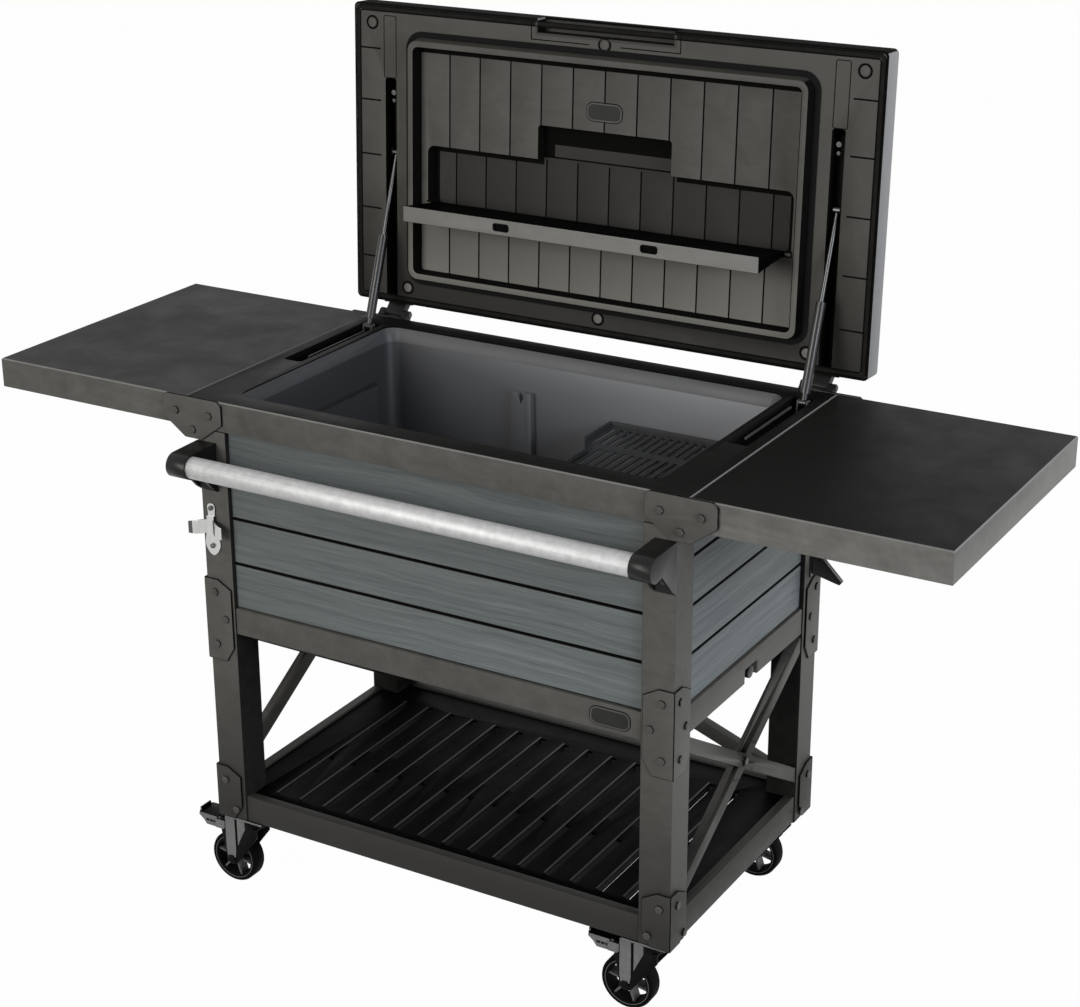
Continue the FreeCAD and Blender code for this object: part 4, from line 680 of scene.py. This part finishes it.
places = {
    "straight": 0.9, "steep": 0.5, "slant": 0.3,  # how far a face looks along an axis
    "near": 0.0006,       # how close to a level a face has to lie to be on it
    "thin": 0.0046,       # a pressed plate's edge strip is narrower
    "stripArea": 8e-4,
    "boltFace": 0.2722,   # heads further out than this look to the front or back
    "tableTop": 0.93, "topRound": 0.003, "deckOpening": (0.46, 0.25),
    "ringOut": (0.395, 0.225), "ringHalf": (0.39, 0.219), "ringDepth": -0.0005,
    "deep": 0.02, "grooveDepth": 0.0072, "pocketDepth": 0.029, "pocketHalf": 0.37, "gripFront": -0.24,
    "lipFace": 0.84, "ribTop": 0.1895,
    "rimHeight": 0.9, "rimSlope": 0.25,
}


def crossWidth(face):
    # second largest side of the face's own box, which is small for an edge strip
    spots = [vertex.co for vertex in face.verts]
    return sorted(max(at[i] for at in spots) - min(at[i] for at in spots) for i in range(3))[1]


def legFaces(at, way, face):
    # painted shade on the inner sides of the angle post
    inwards = -places["steep"]
    return way.x * math.copysign(1, at.x) < inwards or way.y * math.copysign(1, at.y) < inwards


def plateFaces(at, way, face):
    # painted shade: the plates' thin edge strips, and their bevelled edges, are black
    return crossWidth(face) < places["thin"] and face.calc_area() < places["stripArea"]


def boltFaces(at, way, face):
    # painted shade on the sides of the heads
    along = way.y if abs(at.y) > places["boltFace"] else way.x
    return abs(along) < places["slant"]


def deckFaces(at, way, face):
    # 1 top, darker as painted shade, 2 its rounded edge, with a painted highlight, 3 walls of the openings,
    # black as painted shade on the deck
    if way.z > places["straight"]:
        return 1
    if way.z > places["slant"] and at.z > places["tableTop"] - places["topRound"]:
        return 2
    x, y = places["deckOpening"]
    return 3 if abs(at.x) < x and abs(at.y) < y and abs(way.z) < places["steep"] else 0


def linerFaces(at, way, face):
    # 0 panel and ring, 1 black, 2 ring's outer wall, 3 pocket, 4 grip, 5 border; 1 to 4 are painted shade, 1
    # on hidden walls, grooves and deep recesses, and 5 has painted shade by the hinges
    here = shutLid @ at
    facing = shutLid.to_3x3() @ way
    depth = here.z - lidPlace["border"]
    if facing.z > -places["straight"]:
        (x, y), (a, b) = places["ringOut"], places["ringHalf"]
        wall = abs(here.x) < x and abs(here.y) < y and depth < places["ringDepth"]
        outward = facing.dot(Vector((here.x / a ** 2, here.y / b ** 2, 0))) > 0
        lit = facing.x < places["steep"] and facing.y < places["steep"]
        return 2 if wall and outward and lit else 1
    if depth > places["deep"]:
        if here.y < places["gripFront"]:
            return 4
        pocket = abs(here.x) < places["pocketHalf"] and depth < places["pocketDepth"] + places["near"]
        return 3 if pocket else 1
    if abs(depth - places["grooveDepth"]) < places["near"]:
        return 1
    return 5 if abs(depth) < places["near"] else 0


def shellFaces(at, way, face):
    # painted shade: black on the faces that look down or to the front when the lid is shut
    facing = shutLid.to_3x3() @ way
    return facing.z < -0.5 or facing.y < -0.7


def lidShelfFaces(at, way, face):
    # painted shade: all but the lip's face take the shelf's black
    lip = (shutLid.to_3x3() @ way).z < -0.8 and (shutLid @ at).z < places["lipFace"]
    return not lip


painted = (
    # nodes, their rule, the finishes it picks after the first, and the one that bevelled edges take
    (named("planks_"), lambda at, way, face: abs(way.z) > places["slant"], ["jointBlack"], -1),
    # painted shade: the legs' inner sides are darker and their bevelled edges black
    (named("leg_"), legFaces, ["softBlack", "jointBlack"], 2),
    (("corner_plates", "hinge_plates"), plateFaces, ["jointBlack"], 1),
    (("frame_bolts", "wing_pivots"), boltFaces, ["jointBlack"], -1),
    (("lid_liner",), linerFaces, ["jointBlack", "ringWall", "pocketFloor", "ringWall", "lidBorder"], -1),
    (("lid_shell",), shellFaces, ["jointBlack"], -1),
    (("lid_shelf",), lidShelfFaces, ["shelfBlack"], -1),
    # painted highlight on the tops of the ribs
    (("lower_shelf",), lambda at, way, face: way.z > places["straight"] and at.z > places["ribTop"],
     ["ribEdge"], -1),
    (named("brake_pedal_") + ("caster_plates",),
     lambda at, way, face: abs(way.y) > places["straight"], ["casterPale"], -1),
    # painted highlight on the tub's upward rim
    (("tub",), lambda at, way, face: way.z > places["rimSlope"] and at.z > places["rimHeight"],
     ["tubRim"], -1),
    (("top_frame",), deckFaces, ["deckTop", "rubbedEdge", "jointBlack"], -1),
    (("wing_left",), deckFaces, ["wingTopLeft", "rubbedEdge", "top_brown"], -1),
    (("wing_right",), deckFaces, ["wingTopRight", "rubbedEdge", "top_brown"], -1),
)
paintOf = {node: row for nodes, *row in painted for node in nodes}
firstFinish = {
    # where a node's main finish isn't its slot's
    "planks_end": "plankEnd", "lower_shelf": "shelfBlack", "lid_shelf": "shelfLip",
    "wing_left": "skirtDull", "top_frame": "skirtDull", "lid_hinge_arms": "hingeDark",
    "lid_hinge_brackets": "hingeDark", "lid_spring_brackets": "softBlack",
}


# Pieces whose shape comes straight from the frame

edgeRadii = (
    # radius of the moulded or pressed edge, in metres, and the nodes that have it
    (0.0020, ("tub",)),
    (0.0018, named("leg_")),
    (0.0015, ("lower_rails",) + named("apron") + named("brace_")),
    (0.0014, ("corner_plates",)),
    (0.0012, ("hinge_plates", "handle_brackets", "lid_shell", "lid_shelf")),
    (0.0010, named("wing_latch_")),
    (0.0008, ("top_frame", "wing_catches", "wing_left", "wing_right")),
    (0.0007, ("lid_hinge_brackets", "lid_hinge_arms", *named("caster_fork_"), *named("brake_pedal_"))),
    (0.0006, ("caster_plates", "tub_tray", "drain_cap")),
    (0.0005, ("lower_shelf", "handle_tube", "spring_anchors", "lid_liner", "lid_spring_brackets")),
    (0.0004, ("frame_bolts", "small_screws", "wing_pivots", "lid_plugs") + named("planks_")),
)
edgeOf = {node: radius for radius, nodes in edgeRadii for node in nodes}
keptNodes = (("body_base", "insulation", "drain_fitting", "lid_hinge_pins", "lid_seal")
             + named("spring_rod_") + named("spring_cylinder_"))
modelledNodes = ("bottle_opener",) + named("wheel_")


def paintFaces(shape, rule):
    shape.normal_update()
    for face in shape.faces:
        face.material_index = int(rule(face.calc_center_median(), face.normal, face))


def dressNodes():
    for node in bodyOf:
        if node in modelledNodes:
            continue
        names = [firstFinish.get(node, slotOf[node])]
        if node in keptNodes:
            data = frame["nodes"][node].data
            data.materials.clear()
            data.materials.append(finishes[names[0]])
            continue
        shape = mergedCopy(node)
        edgeFinish = -1
        if node in paintOf:
            rule, others, edgeFinish = paintOf[node]
            paintFaces(shape, rule)
            names += others
        makePiece(pieceName(node), shape, node, names, edgeOf[node], 2, edgeFinish, instead=True)
    print("pieces from the frame:", len(bodyOf) - len(modelledNodes))


# Marks on the lid's inner side

lidMarks = {
    "proud": 0.00025,
    "dashes": (-0.192, -0.099, 0.0, 0.099, 0.190), "dashAlong": (0.457, 0.500), "dashHalf": 0.0015,
    "label": ((0.4365, -0.1965), 0.0135, 0.0555, 0.004), "labelLine": 0.0014,
    "edgeInset": 0.0118, "edgeLine": 0.0026, "edgeRadius": 0.006, "wallLine": 0.0014, "wallRadius": 0.009,
    "rimRadius": 0.0085,
    "plugRing": 0.0128, "plugRingWidth": 0.0036, "plugSpread": 0.03,
    "gripHalf": 0.132, "gripFoot": -0.2475, "gripStart": 0.006, "gripRim": 0.004, "gripLine": 0.0018,
    "gripGap": 0.011, "gripBreak": 0.03,
    "ringHalf": (0.376, 0.205), "ringRadius": 0.008, "ringLine": 0.0026, "ringShade": 0.0125,
    "pocketHalf": 0.36, "pocketY": (-0.028, 0.084), "notchHalf": 0.131, "notchY": (-0.088, -0.052),
    "notchSide": 0.022, "pocketBand": 0.0135, "pocketSide": 0.011, "pocketLine": 0.003,
    "pocketShade": 0.015,
    "shelfSlots": (-0.145, 0.145), "shelfY": 0.078, "lipPlane": 0.839,
    "slotHalf": (0.0165, 0.0072), "slotRadius": 0.005, "slotLine": 0.0024,
}


def onLidPlane(name, shape, plane, node, finishNames):
    # drawn on a level plane of the shut lid, facing down, and carried up with it
    closeUp(shape, openLid @ Matrix.Translation((0, 0, plane)))
    makePiece(name, shape, node, finishNames)


def drawBorderMarks():
    # dashes, labels, shut lines along the edge, rings round the plugs and the finger grip's rim
    shape = bmesh.new()
    marks = lidMarks
    proud = -marks["proud"]
    front, back = lidPlace["front"], lidPlace["back"]
    for side in (-1, 1):
        near, far = (side * x for x in marks["dashAlong"])
        for y in marks["dashes"]:
            block(shape, (near, far), (y - marks["dashHalf"], y + marks["dashHalf"]), (0, proud))
        (x, y), *label = marks["label"]
        raised(shape, ((side * x, y), *label), proud, marks["labelLine"])
    middle, halfX, halfY = (0, (front + back) / 2), lidPlace["half"], (back - front) / 2
    inset, wall = marks["edgeInset"], lidPlace["shellWall"]
    within = wall + marks["wallLine"]
    for gap, radius, width, height, finish in (
            (inset, marks["edgeRadius"], marks["edgeLine"], proud, 0),
            (wall, marks["wallRadius"], marks["wallLine"], proud, 0),
            (within, marks["rimRadius"], inset - within, proud * 0.6, 1)):
        raised(shape, (middle, halfX - gap, halfY - gap, radius), height, width, finish)
    ring = marks["plugRing"]
    for centre in plugCentres(frame["nodes"]["lid_plugs"].data):
        raised(shape, (centre, ring, ring, ring - 1e-5), proud, marks["plugRingWidth"])
    # the rim's outer line stops at the plug
    for reach, start, width, finish in ((0, 0, marks["gripRim"], 2),
                                        (marks["gripGap"], marks["gripBreak"], marks["gripLine"], 0)):
        far, low = marks["gripHalf"] + reach, marks["gripFoot"] + reach
        for side in (-1, 1):
            block(shape, (side * far, side * (far + width)), (front + marks["gripStart"], low + width),
                  (0, proud), finish)
            block(shape, (side * start, side * far), (low, low + width), (0, proud), finish)
    onLidPlane("lidBorderMarks", shape, lidPlace["border"], "lid_liner",
               ["jointBlack", "softBlack", "ringWall"])


def drawPanelMarks():
    # shut line inside the raised ring, with painted shade along the ring's top and right inner edges
    shape = bmesh.new()
    marks = lidMarks
    proud, shade = -marks["proud"], marks["ringShade"]
    x, y = marks["ringHalf"]
    raised(shape, ((0, 0), x, y, marks["ringRadius"]), proud, marks["ringLine"])
    block(shape, (-x, x), (-y, shade - y), (0, proud))
    block(shape, (x - shade, x), (shade - y, y), (0, proud))
    onLidPlane("lidPanelMarks", shape, lidPlace["panel"], "lid_liner", ["jointBlack"])


def drawPocketMarks():
    # shadow under the pocket's front and side walls, with the paler floor of its notch
    shape = bmesh.new()
    marks = lidMarks
    half, (front, back) = marks["pocketHalf"], marks["pocketY"]
    notch, (top, low), inside = marks["notchHalf"], marks["notchY"], marks["notchSide"] - marks["notchHalf"]
    line, shadow = marks["pocketLine"], front + marks["pocketBand"]
    for xs, ys, finish in (
            ((-notch, notch), (top, low), 0),
            ((-notch, inside), (low, front), 0),
            ((inside, notch), (low, front - line), 1),
            ((-notch, notch), (front - line, front), 0),
            ((-half, -notch), (front, shadow), 0),
            ((notch, half), (front, shadow), 0),
            ((-half, marks["pocketSide"] - half), (shadow, back), 0),
            ((half - marks["pocketShade"], half), (shadow, back), 0)):
        block(shape, xs, ys, (0, -marks["proud"]), finish)
    onLidPlane("lidPocketMarks", shape, lidPlace["border"] + places["pocketDepth"], "lid_liner",
               ["jointBlack", "pocketFloor"])


def drawShelfMarks():
    # outlines of the two slots in the shelf's lip
    shape = bmesh.new()
    marks = lidMarks
    for x in marks["shelfSlots"]:
        raised(shape, ((x, marks["shelfY"]), *marks["slotHalf"], marks["slotRadius"]), -marks["proud"],
               marks["slotLine"])
    onLidPlane("lidShelfMarks", shape, marks["lipPlane"], "lid_shelf", ["jointBlack"])


def plugCentres(mesh):
    # centres of the separate round plugs, from their corners on the closed lid
    groups = []
    for vertex in mesh.vertices:
        here = (shutLid @ vertex.co).to_2d()
        near = next((group for group in groups if (group[0] - here).length < lidMarks["plugSpread"]), None)
        if near:
            near.append(here)
        else:
            groups.append([here])
    return [[(min(at[i] for at in group) + max(at[i] for at in group)) / 2 for i in range(2)]
            for group in groups]


# Ribs under the lower shelf

shelfRibs = {"count": 7, "pitch": 0.05, "across": (-0.009, -0.005), "along": (-0.229, 0.188),
             "height": (0.1765, 0.1815)}


def deepenShelfRibs():
    shape = bmesh.new()
    for i in range(-shelfRibs["count"], shelfRibs["count"] + 1):
        across = [i * shelfRibs["pitch"] + x for x in shelfRibs["across"]]
        block(shape, across, shelfRibs["along"], shelfRibs["height"])
    makePiece("lowerShelfRibs", closeUp(shape), "lower_shelf", ["shelfBlack"])


# Bare name badges

badges = {
    "lid": {"centre": (0.0, -0.122), "half": (0.034, 0.0155)},
    "apron": {"centre": (0.338, 0.533), "half": (0.0355, 0.0155)}, "apronFace": -0.27,
    "rim": 0.0024, "line": 0.0016, "height": 0.0012,
    "ends": 0.8, "plateEnds": 0.6,              # corner radius as a share of the half height
    "lineHeight": 0.2, "plateHeight": 0.35,     # as a share of the rim's
}


def makeBadge(name, spot, place, node):
    # drawn flat and facing down, with its own shut line and a raised rim
    shape = bmesh.new()
    x, y = badges[spot]["half"]
    line, rim, height, radius = badges["line"], badges["rim"], -badges["height"], y * badges["ends"]
    raised(shape, ((0, 0), x + line, y + line, radius + line), height * badges["lineHeight"], line, 1)
    raised(shape, ((0, 0), x, y, radius), height, rim, 2)
    raised(shape, ((0, 0), x - rim, y - rim, y * badges["plateEnds"]), height * badges["plateHeight"])
    makePiece(name, closeUp(shape, place), node, ["badge", "jointBlack", "badgeRim"])


def makeBadges():
    onLid = Matrix.Translation((*badges["lid"]["centre"], lidPlace["panel"]))
    makeBadge("badgeLid", "lid", openLid @ onLid, "lid_liner")
    across, up = badges["apron"]["centre"]
    upright = Matrix.Rotation(math.radians(-90), 4, "X")
    makeBadge("badgeApron", "apron", Matrix.Translation((across, badges["apronFace"], up)) @ upright,
              "apron_front")


# Bottle opener

opener = {
    "x": -0.430, "face": -0.272, "sheet": 0.0026,
    "tabZ": 0.737, "tabRadius": 0.0085, "tabArc": (-20, 200),
    "waist": (0.0065, 0.012),  # half width at the hood's top and bottom
    "lobeZ": 0.6685, "lobeRadius": 0.0155, "lobeArc": (165, 375), "lobeTaper": 0.25, "lobeStretch": 1.15,
    "hoodTop": 0.7175, "hoodBottom": 0.694,
    "bridgeHalf": 0.0075, "bridgeDeep": 0.0045, "bridgeFoot": 0.690, "bridgeTop": 0.7235,
    "ears": ((-1, 0.038), (1, 0.032)), "earRoot": 0.001, "earRise": 0.0165, "earBend": 1.15,
    "earSwell": 0.12, "earTaper": 0.1, "earDroop": 0.005,
    "shadeTip": 0.030, "shadeFold": (0.007, 0.0135), "edge": 0.0006,
    "sunk": 0.0005,
    "screw": ((0.0004, 0), (0.0042, 0), (0.0042, -0.0035), (0.00294, -0.0048), (0.0004, -0.0052)),
}


def arc(degrees, steps):
    start, end = degrees
    return [math.radians(start + (end - start) * i / steps) for i in range(steps + 1)]


def openerBack(shape):
    # tab, waist and pear shaped lobe, as one outline
    o = opener
    x, tab, lobe, (high, low) = o["x"], o["tabRadius"], o["lobeRadius"], o["waist"]
    outline = [(x + tab * math.cos(a), o["tabZ"] + tab * math.sin(a)) for a in arc(o["tabArc"], 12)]
    outline += [(x - high, o["hoodTop"]), (x - low, o["hoodBottom"])]
    outline += [(x + lobe * (1 + o["lobeTaper"] * math.sin(a)) * math.cos(a),
                 o["lobeZ"] + lobe * o["lobeStretch"] * math.sin(a)) for a in arc(o["lobeArc"], 16)]
    outline += [(x + low, o["hoodBottom"]), (x + high, o["hoodTop"])]
    prism(shape, [(u, o["face"], v) for u, v in outline], (0, -o["sheet"], 0))


def openerEar(shape, side, reach):
    # sheet that leaves the back plate, bends forward and droops towards its tip
    o = opener
    made = bmesh.ops.create_grid(shape, x_segments=10, y_segments=2, size=1)["verts"]
    middle, half = (o["hoodTop"] + o["hoodBottom"]) / 2, (o["hoodTop"] - o["hoodBottom"]) / 2
    front, root = o["face"] - o["sheet"], o["earRoot"]
    for vertex in made:
        t, up = (vertex.co.x + 1) / 2, vertex.co.y
        wide = half * (1 + o["earSwell"] * math.sin(t * math.pi) - o["earTaper"] * t)
        vertex.co = (o["x"] + side * (root + (reach - root) * t ** o["earBend"]),
                     front - o["earRise"] * math.sin(t * math.pi / 2),
                     middle + up * wide - o["earDroop"] * t)
    faces = list({face for vertex in made for face in vertex.link_faces})
    bmesh.ops.recalc_face_normals(shape, faces=faces)
    bmesh.ops.solidify(shape, geom=faces, thickness=o["sheet"])


def makeOpener():
    shape = bmesh.new()
    o = opener
    openerBack(shape)
    for side, reach in o["ears"]:
        openerEar(shape, side, reach)
    x, front = o["x"], o["face"] - o["sheet"] + o["sunk"]
    block(shape, (x - o["bridgeHalf"], x + o["bridgeHalf"]), (front, front - o["bridgeDeep"]),
          (o["bridgeFoot"], o["bridgeTop"]))
    for z in (o["tabZ"], o["lobeZ"]):
        turned(shape, o["screw"], Vector((x, front, z)), 24, 1)
    closeUp(shape)
    # painted dark reflection on the hood's fold, its left tip and what looks down or back
    for face in shape.faces:
        across = face.calc_center_median().x - x
        fold = o["shadeFold"][0] < across < o["shadeFold"][1]
        turnedAway = face.normal.z < -0.3 or face.normal.y > 0.3
        if (turnedAway or fold or across < -o["shadeTip"]) and not face.material_index:
            face.material_index = 2
    makePiece("bottleOpener", shape, "bottle_opener", ["opener_steel", "openerScrew", "openerShade"],
              o["edge"], 2, instead=True)


# Fittings of the gas springs: slide and tongue in the deck's slots, screws on the upper brackets

springFittings = {
    # boxes in the right slot along X, Y and Z, mirrored to the left one
    "bar": ((0.4232, 0.4255), (0.012, 0.186), (0.923, 0.9268)),
    "tongue": ((0.4255, 0.4445), (-0.082, -0.018), (0.9225, 0.9245)),
    "tongueScrews": (-0.066, -0.036), "screwSizes": (0.0042, 0.00294, 0.002),
    "bracket": (0.4335, 0.3168), "bracketScrews": ((1.338, 0.0046), (1.3235, 0.0032)),
    "headEdge": -0.0012, "headTop": -0.0016, "socket": -0.0006,
}


def makeSpringFittings():
    f = springFittings
    deck, lid = bmesh.new(), bmesh.new()
    foot, head, depth = f["screwSizes"]
    (near, far), _, (_, top) = f["tongue"]
    across, face = f["bracket"]
    for side in (-1, 1):
        # painted shade: the left slide takes the darker finish
        for name, finish in (("bar", 0 if side > 0 else 1), ("tongue", 1)):
            xs, ys, zs = f[name]
            block(deck, [side * x for x in xs], ys, zs, finish)
        for along in f["tongueScrews"]:
            made = bmesh.ops.create_cone(deck, cap_ends=True, segments=20, radius1=foot, radius2=head,
                                         depth=depth)["verts"]
            bmesh.ops.translate(deck, vec=(side * (near + far) / 2, along, top + depth / 2), verts=made)
        for height, radius in f["bracketScrews"]:
            turned(lid, [(0.0004, 0), (radius, 0), (radius, f["headEdge"]), (radius * 0.6, f["headTop"]),
                         (radius * 0.5, f["socket"]), (0.0004, f["socket"])],
                   Vector((side * across, face, height)), 20)
    makePiece("springSlotFittings", closeUp(deck), "spring_anchors", ["springBar", "casterDark"])
    makePiece("springBracketScrews", closeUp(lid), "lid_spring_brackets", ["casterPale"])


# Casters

wheelShape = {
    # outlines as (radius, along the axle) for the front half, which the back half mirrors
    "tyre": ((0.0385, -0.0135), (0.044, -0.015), (0.0467, -0.0137), (0.048, -0.011)),
    "drum": ((0.0365, -0.014), (0.0385, -0.014)),
    "hub": ((0.004, -0.015), (0.0085, -0.015), (0.0115, -0.012)),
    "ring": (0.0397, 0.0411), "ringAlong": (0.013, 0.0147),
    "spokes": 6, "spokeFrom": 0.0095, "spokeTo": 0.0375, "spokeHalf": (0.002125, 0.0017),
    "spokeDeep": 0.0105, "spokeStart": 0.2, "edge": 0.0004,
}


def makeWheel(node):
    # tyre, wheel well, the pale ring in each side, hub and spokes
    w = wheelShape
    centre = jointPlace["roll_" + node.replace("wheel_", "")]
    shape = bmesh.new()
    for name, steps, finish in (("tyre", 72, 0), ("drum", 72, 1), ("hub", 40, 3)):
        mirrored = [(radius, -along) for radius, along in reversed(w[name])]
        turned(shape, [*w[name], *mirrored], centre, steps, finish)
    (inner, outer), (deep, flush) = w["ring"], w["ringAlong"]
    for side in (-1, 1):
        turned(shape, [(inner, side * deep), (outer, side * deep), (outer, side * flush),
                       (inner, side * flush)], centre, 72, 2)
    near, far, (wide, thin), deep = w["spokeFrom"], w["spokeTo"], w["spokeHalf"], w["spokeDeep"]
    for i in range(w["spokes"]):
        outline = [(near, -deep, -wide), (far, -deep, -thin), (far, -deep, thin), (near, -deep, wide)]
        spoke = prism(shape, [centre + Vector(corner) for corner in outline], (0, 2 * deep, 0), 3)
        turn = Matrix.Rotation(2 * math.pi * i / w["spokes"] + w["spokeStart"], 3, "Y")
        bmesh.ops.rotate(shape, cent=centre, matrix=turn, verts=spoke)
    makePiece(pieceName(node), closeUp(shape), node, ["tyre_black", "jointBlack", "wheelRim", "wheelRim"],
              w["edge"], instead=True)


forkShape = {
    # sheets on the cheek: outline as (from the axle, above the floor), thickness and finish
    "strip": (((-0.0105, 0.134), (-0.0105, 0.066), (-0.0085, 0.052), (0.0085, 0.052), (0.0105, 0.066),
               (0.0105, 0.134)), 0.0008, 0),
    # the crease is a thin dark sheet of painted shade
    "crease": (((0.0105, 0.134), (0.0105, 0.066), (0.0155, 0.076), (0.0155, 0.134)), 0.00032, 1),
    "web": (((0.0155, 0.134), (0.0155, 0.078), (0.0365, 0.122), (0.0365, 0.134)), 0.0004, 0),
    "webBow": 0.0025, "webCuts": 7, "cheek": 0.020,
    "yoke": (-0.048, 0.019), "yokeHalf": 0.0165, "yokeHeight": (0.121, 0.134), "edge": 0.0003,
}


def bowWeb(shape, web, start, end, face, side):
    # the web's outer skin curves outwards between its two upright edges
    runs = {edge for vertex in web for edge in vertex.link_edges
            if abs(edge.verts[0].co.x - edge.verts[1].co.x) > (end - start) / 2}
    cut = bmesh.ops.subdivide_edges(shape, edges=list(runs), cuts=forkShape["webCuts"], use_grid_fill=True)
    for vertex in cut["geom_inner"]:
        if isinstance(vertex, bmesh.types.BMVert) and abs(vertex.co.y - face) > 1e-5:
            share = (vertex.co.x - start) / (end - start)
            vertex.co.y += side * forkShape["webBow"] * math.sin(share * math.pi)


def makeForkTrim(node):
    # pressed strip down to the axle and the bowed web beside it, on both cheeks
    f = forkShape
    corner = node.replace("caster_fork_", "")
    crown, axle = jointPlace["swivel_" + corner], jointPlace["roll_" + corner]
    shape = bmesh.new()
    block(shape, [crown.x + x for x in f["yoke"]], (crown.y - f["yokeHalf"], crown.y + f["yokeHalf"]),
          f["yokeHeight"], 1)
    for side in (-1, 1):
        face = crown.y + side * f["cheek"]
        for name in ("strip", "crease", "web"):
            outline, thick, finish = f[name]
            sheet = prism(shape, [(axle.x + x, face, z) for x, z in outline], (0, side * thick, 0), finish)
        start, end = axle.x + f["web"][0][0][0], axle.x + f["web"][0][-1][0]
        bowWeb(shape, sheet, start, end, face, side)
    makePiece(pieceName(node, "trim"), closeUp(shape), node, ["casterPale", "jointBlack"], f["edge"])


pedalTrim = {
    # from the pedal's pivot: the folded sides run on to the fork, with three small slots in them
    "plate": ((-0.0145, -0.0145), (0.002, -0.0145), (0.006, -0.0105), (0.006, 0.003), (-0.0145, 0.003)),
    "plateFace": 0.0212, "sheet": 0.0007,
    "slots": (-0.033, -0.0245, -0.016), "slotHalf": 0.0034, "slotHeight": (-0.0069, -0.0031),
    "slotFace": 0.020, "proud": 0.0003,
}


def makePedalTrim(node):
    t = pedalTrim
    pivot = jointPlace["brake_" + node.replace("brake_pedal_", "")]
    shape = bmesh.new()
    for side in (-1, 1):
        face = pivot.y + side * t["plateFace"]
        prism(shape, [(pivot.x + x, face, pivot.z + z) for x, z in t["plate"]], (0, side * t["sheet"], 0), 1)
        face = pivot.y + side * t["slotFace"]
        for along in t["slots"]:
            middle = pivot.x + along
            block(shape, (middle - t["slotHalf"], middle + t["slotHalf"]), (face, face + side * t["proud"]),
                  [pivot.z + z for z in t["slotHeight"]])
    makePiece(pieceName(node, "trim"), closeUp(shape), node, ["jointBlack", "casterPale"])


def makeCasters():
    makers = {"wheel_": makeWheel, "caster_fork_": makeForkTrim, "brake_pedal_": makePedalTrim}
    for node in bodyOf:
        for start, make in makers.items():
            if node.startswith(start):
                make(node)
    print("casters:", len(named("wheel_")))


# Make everything

placeCamera()
lightStudio()
layFloor()
finishes = makeFinishes()
dressNodes()
drawBorderMarks()
drawPanelMarks()
drawPocketMarks()
drawShelfMarks()
makeBadges()
deepenShelfRibs()
makeOpener()
makeSpringFittings()
makeCasters()

bpy.context.scene.view_settings.view_transform = "Standard"
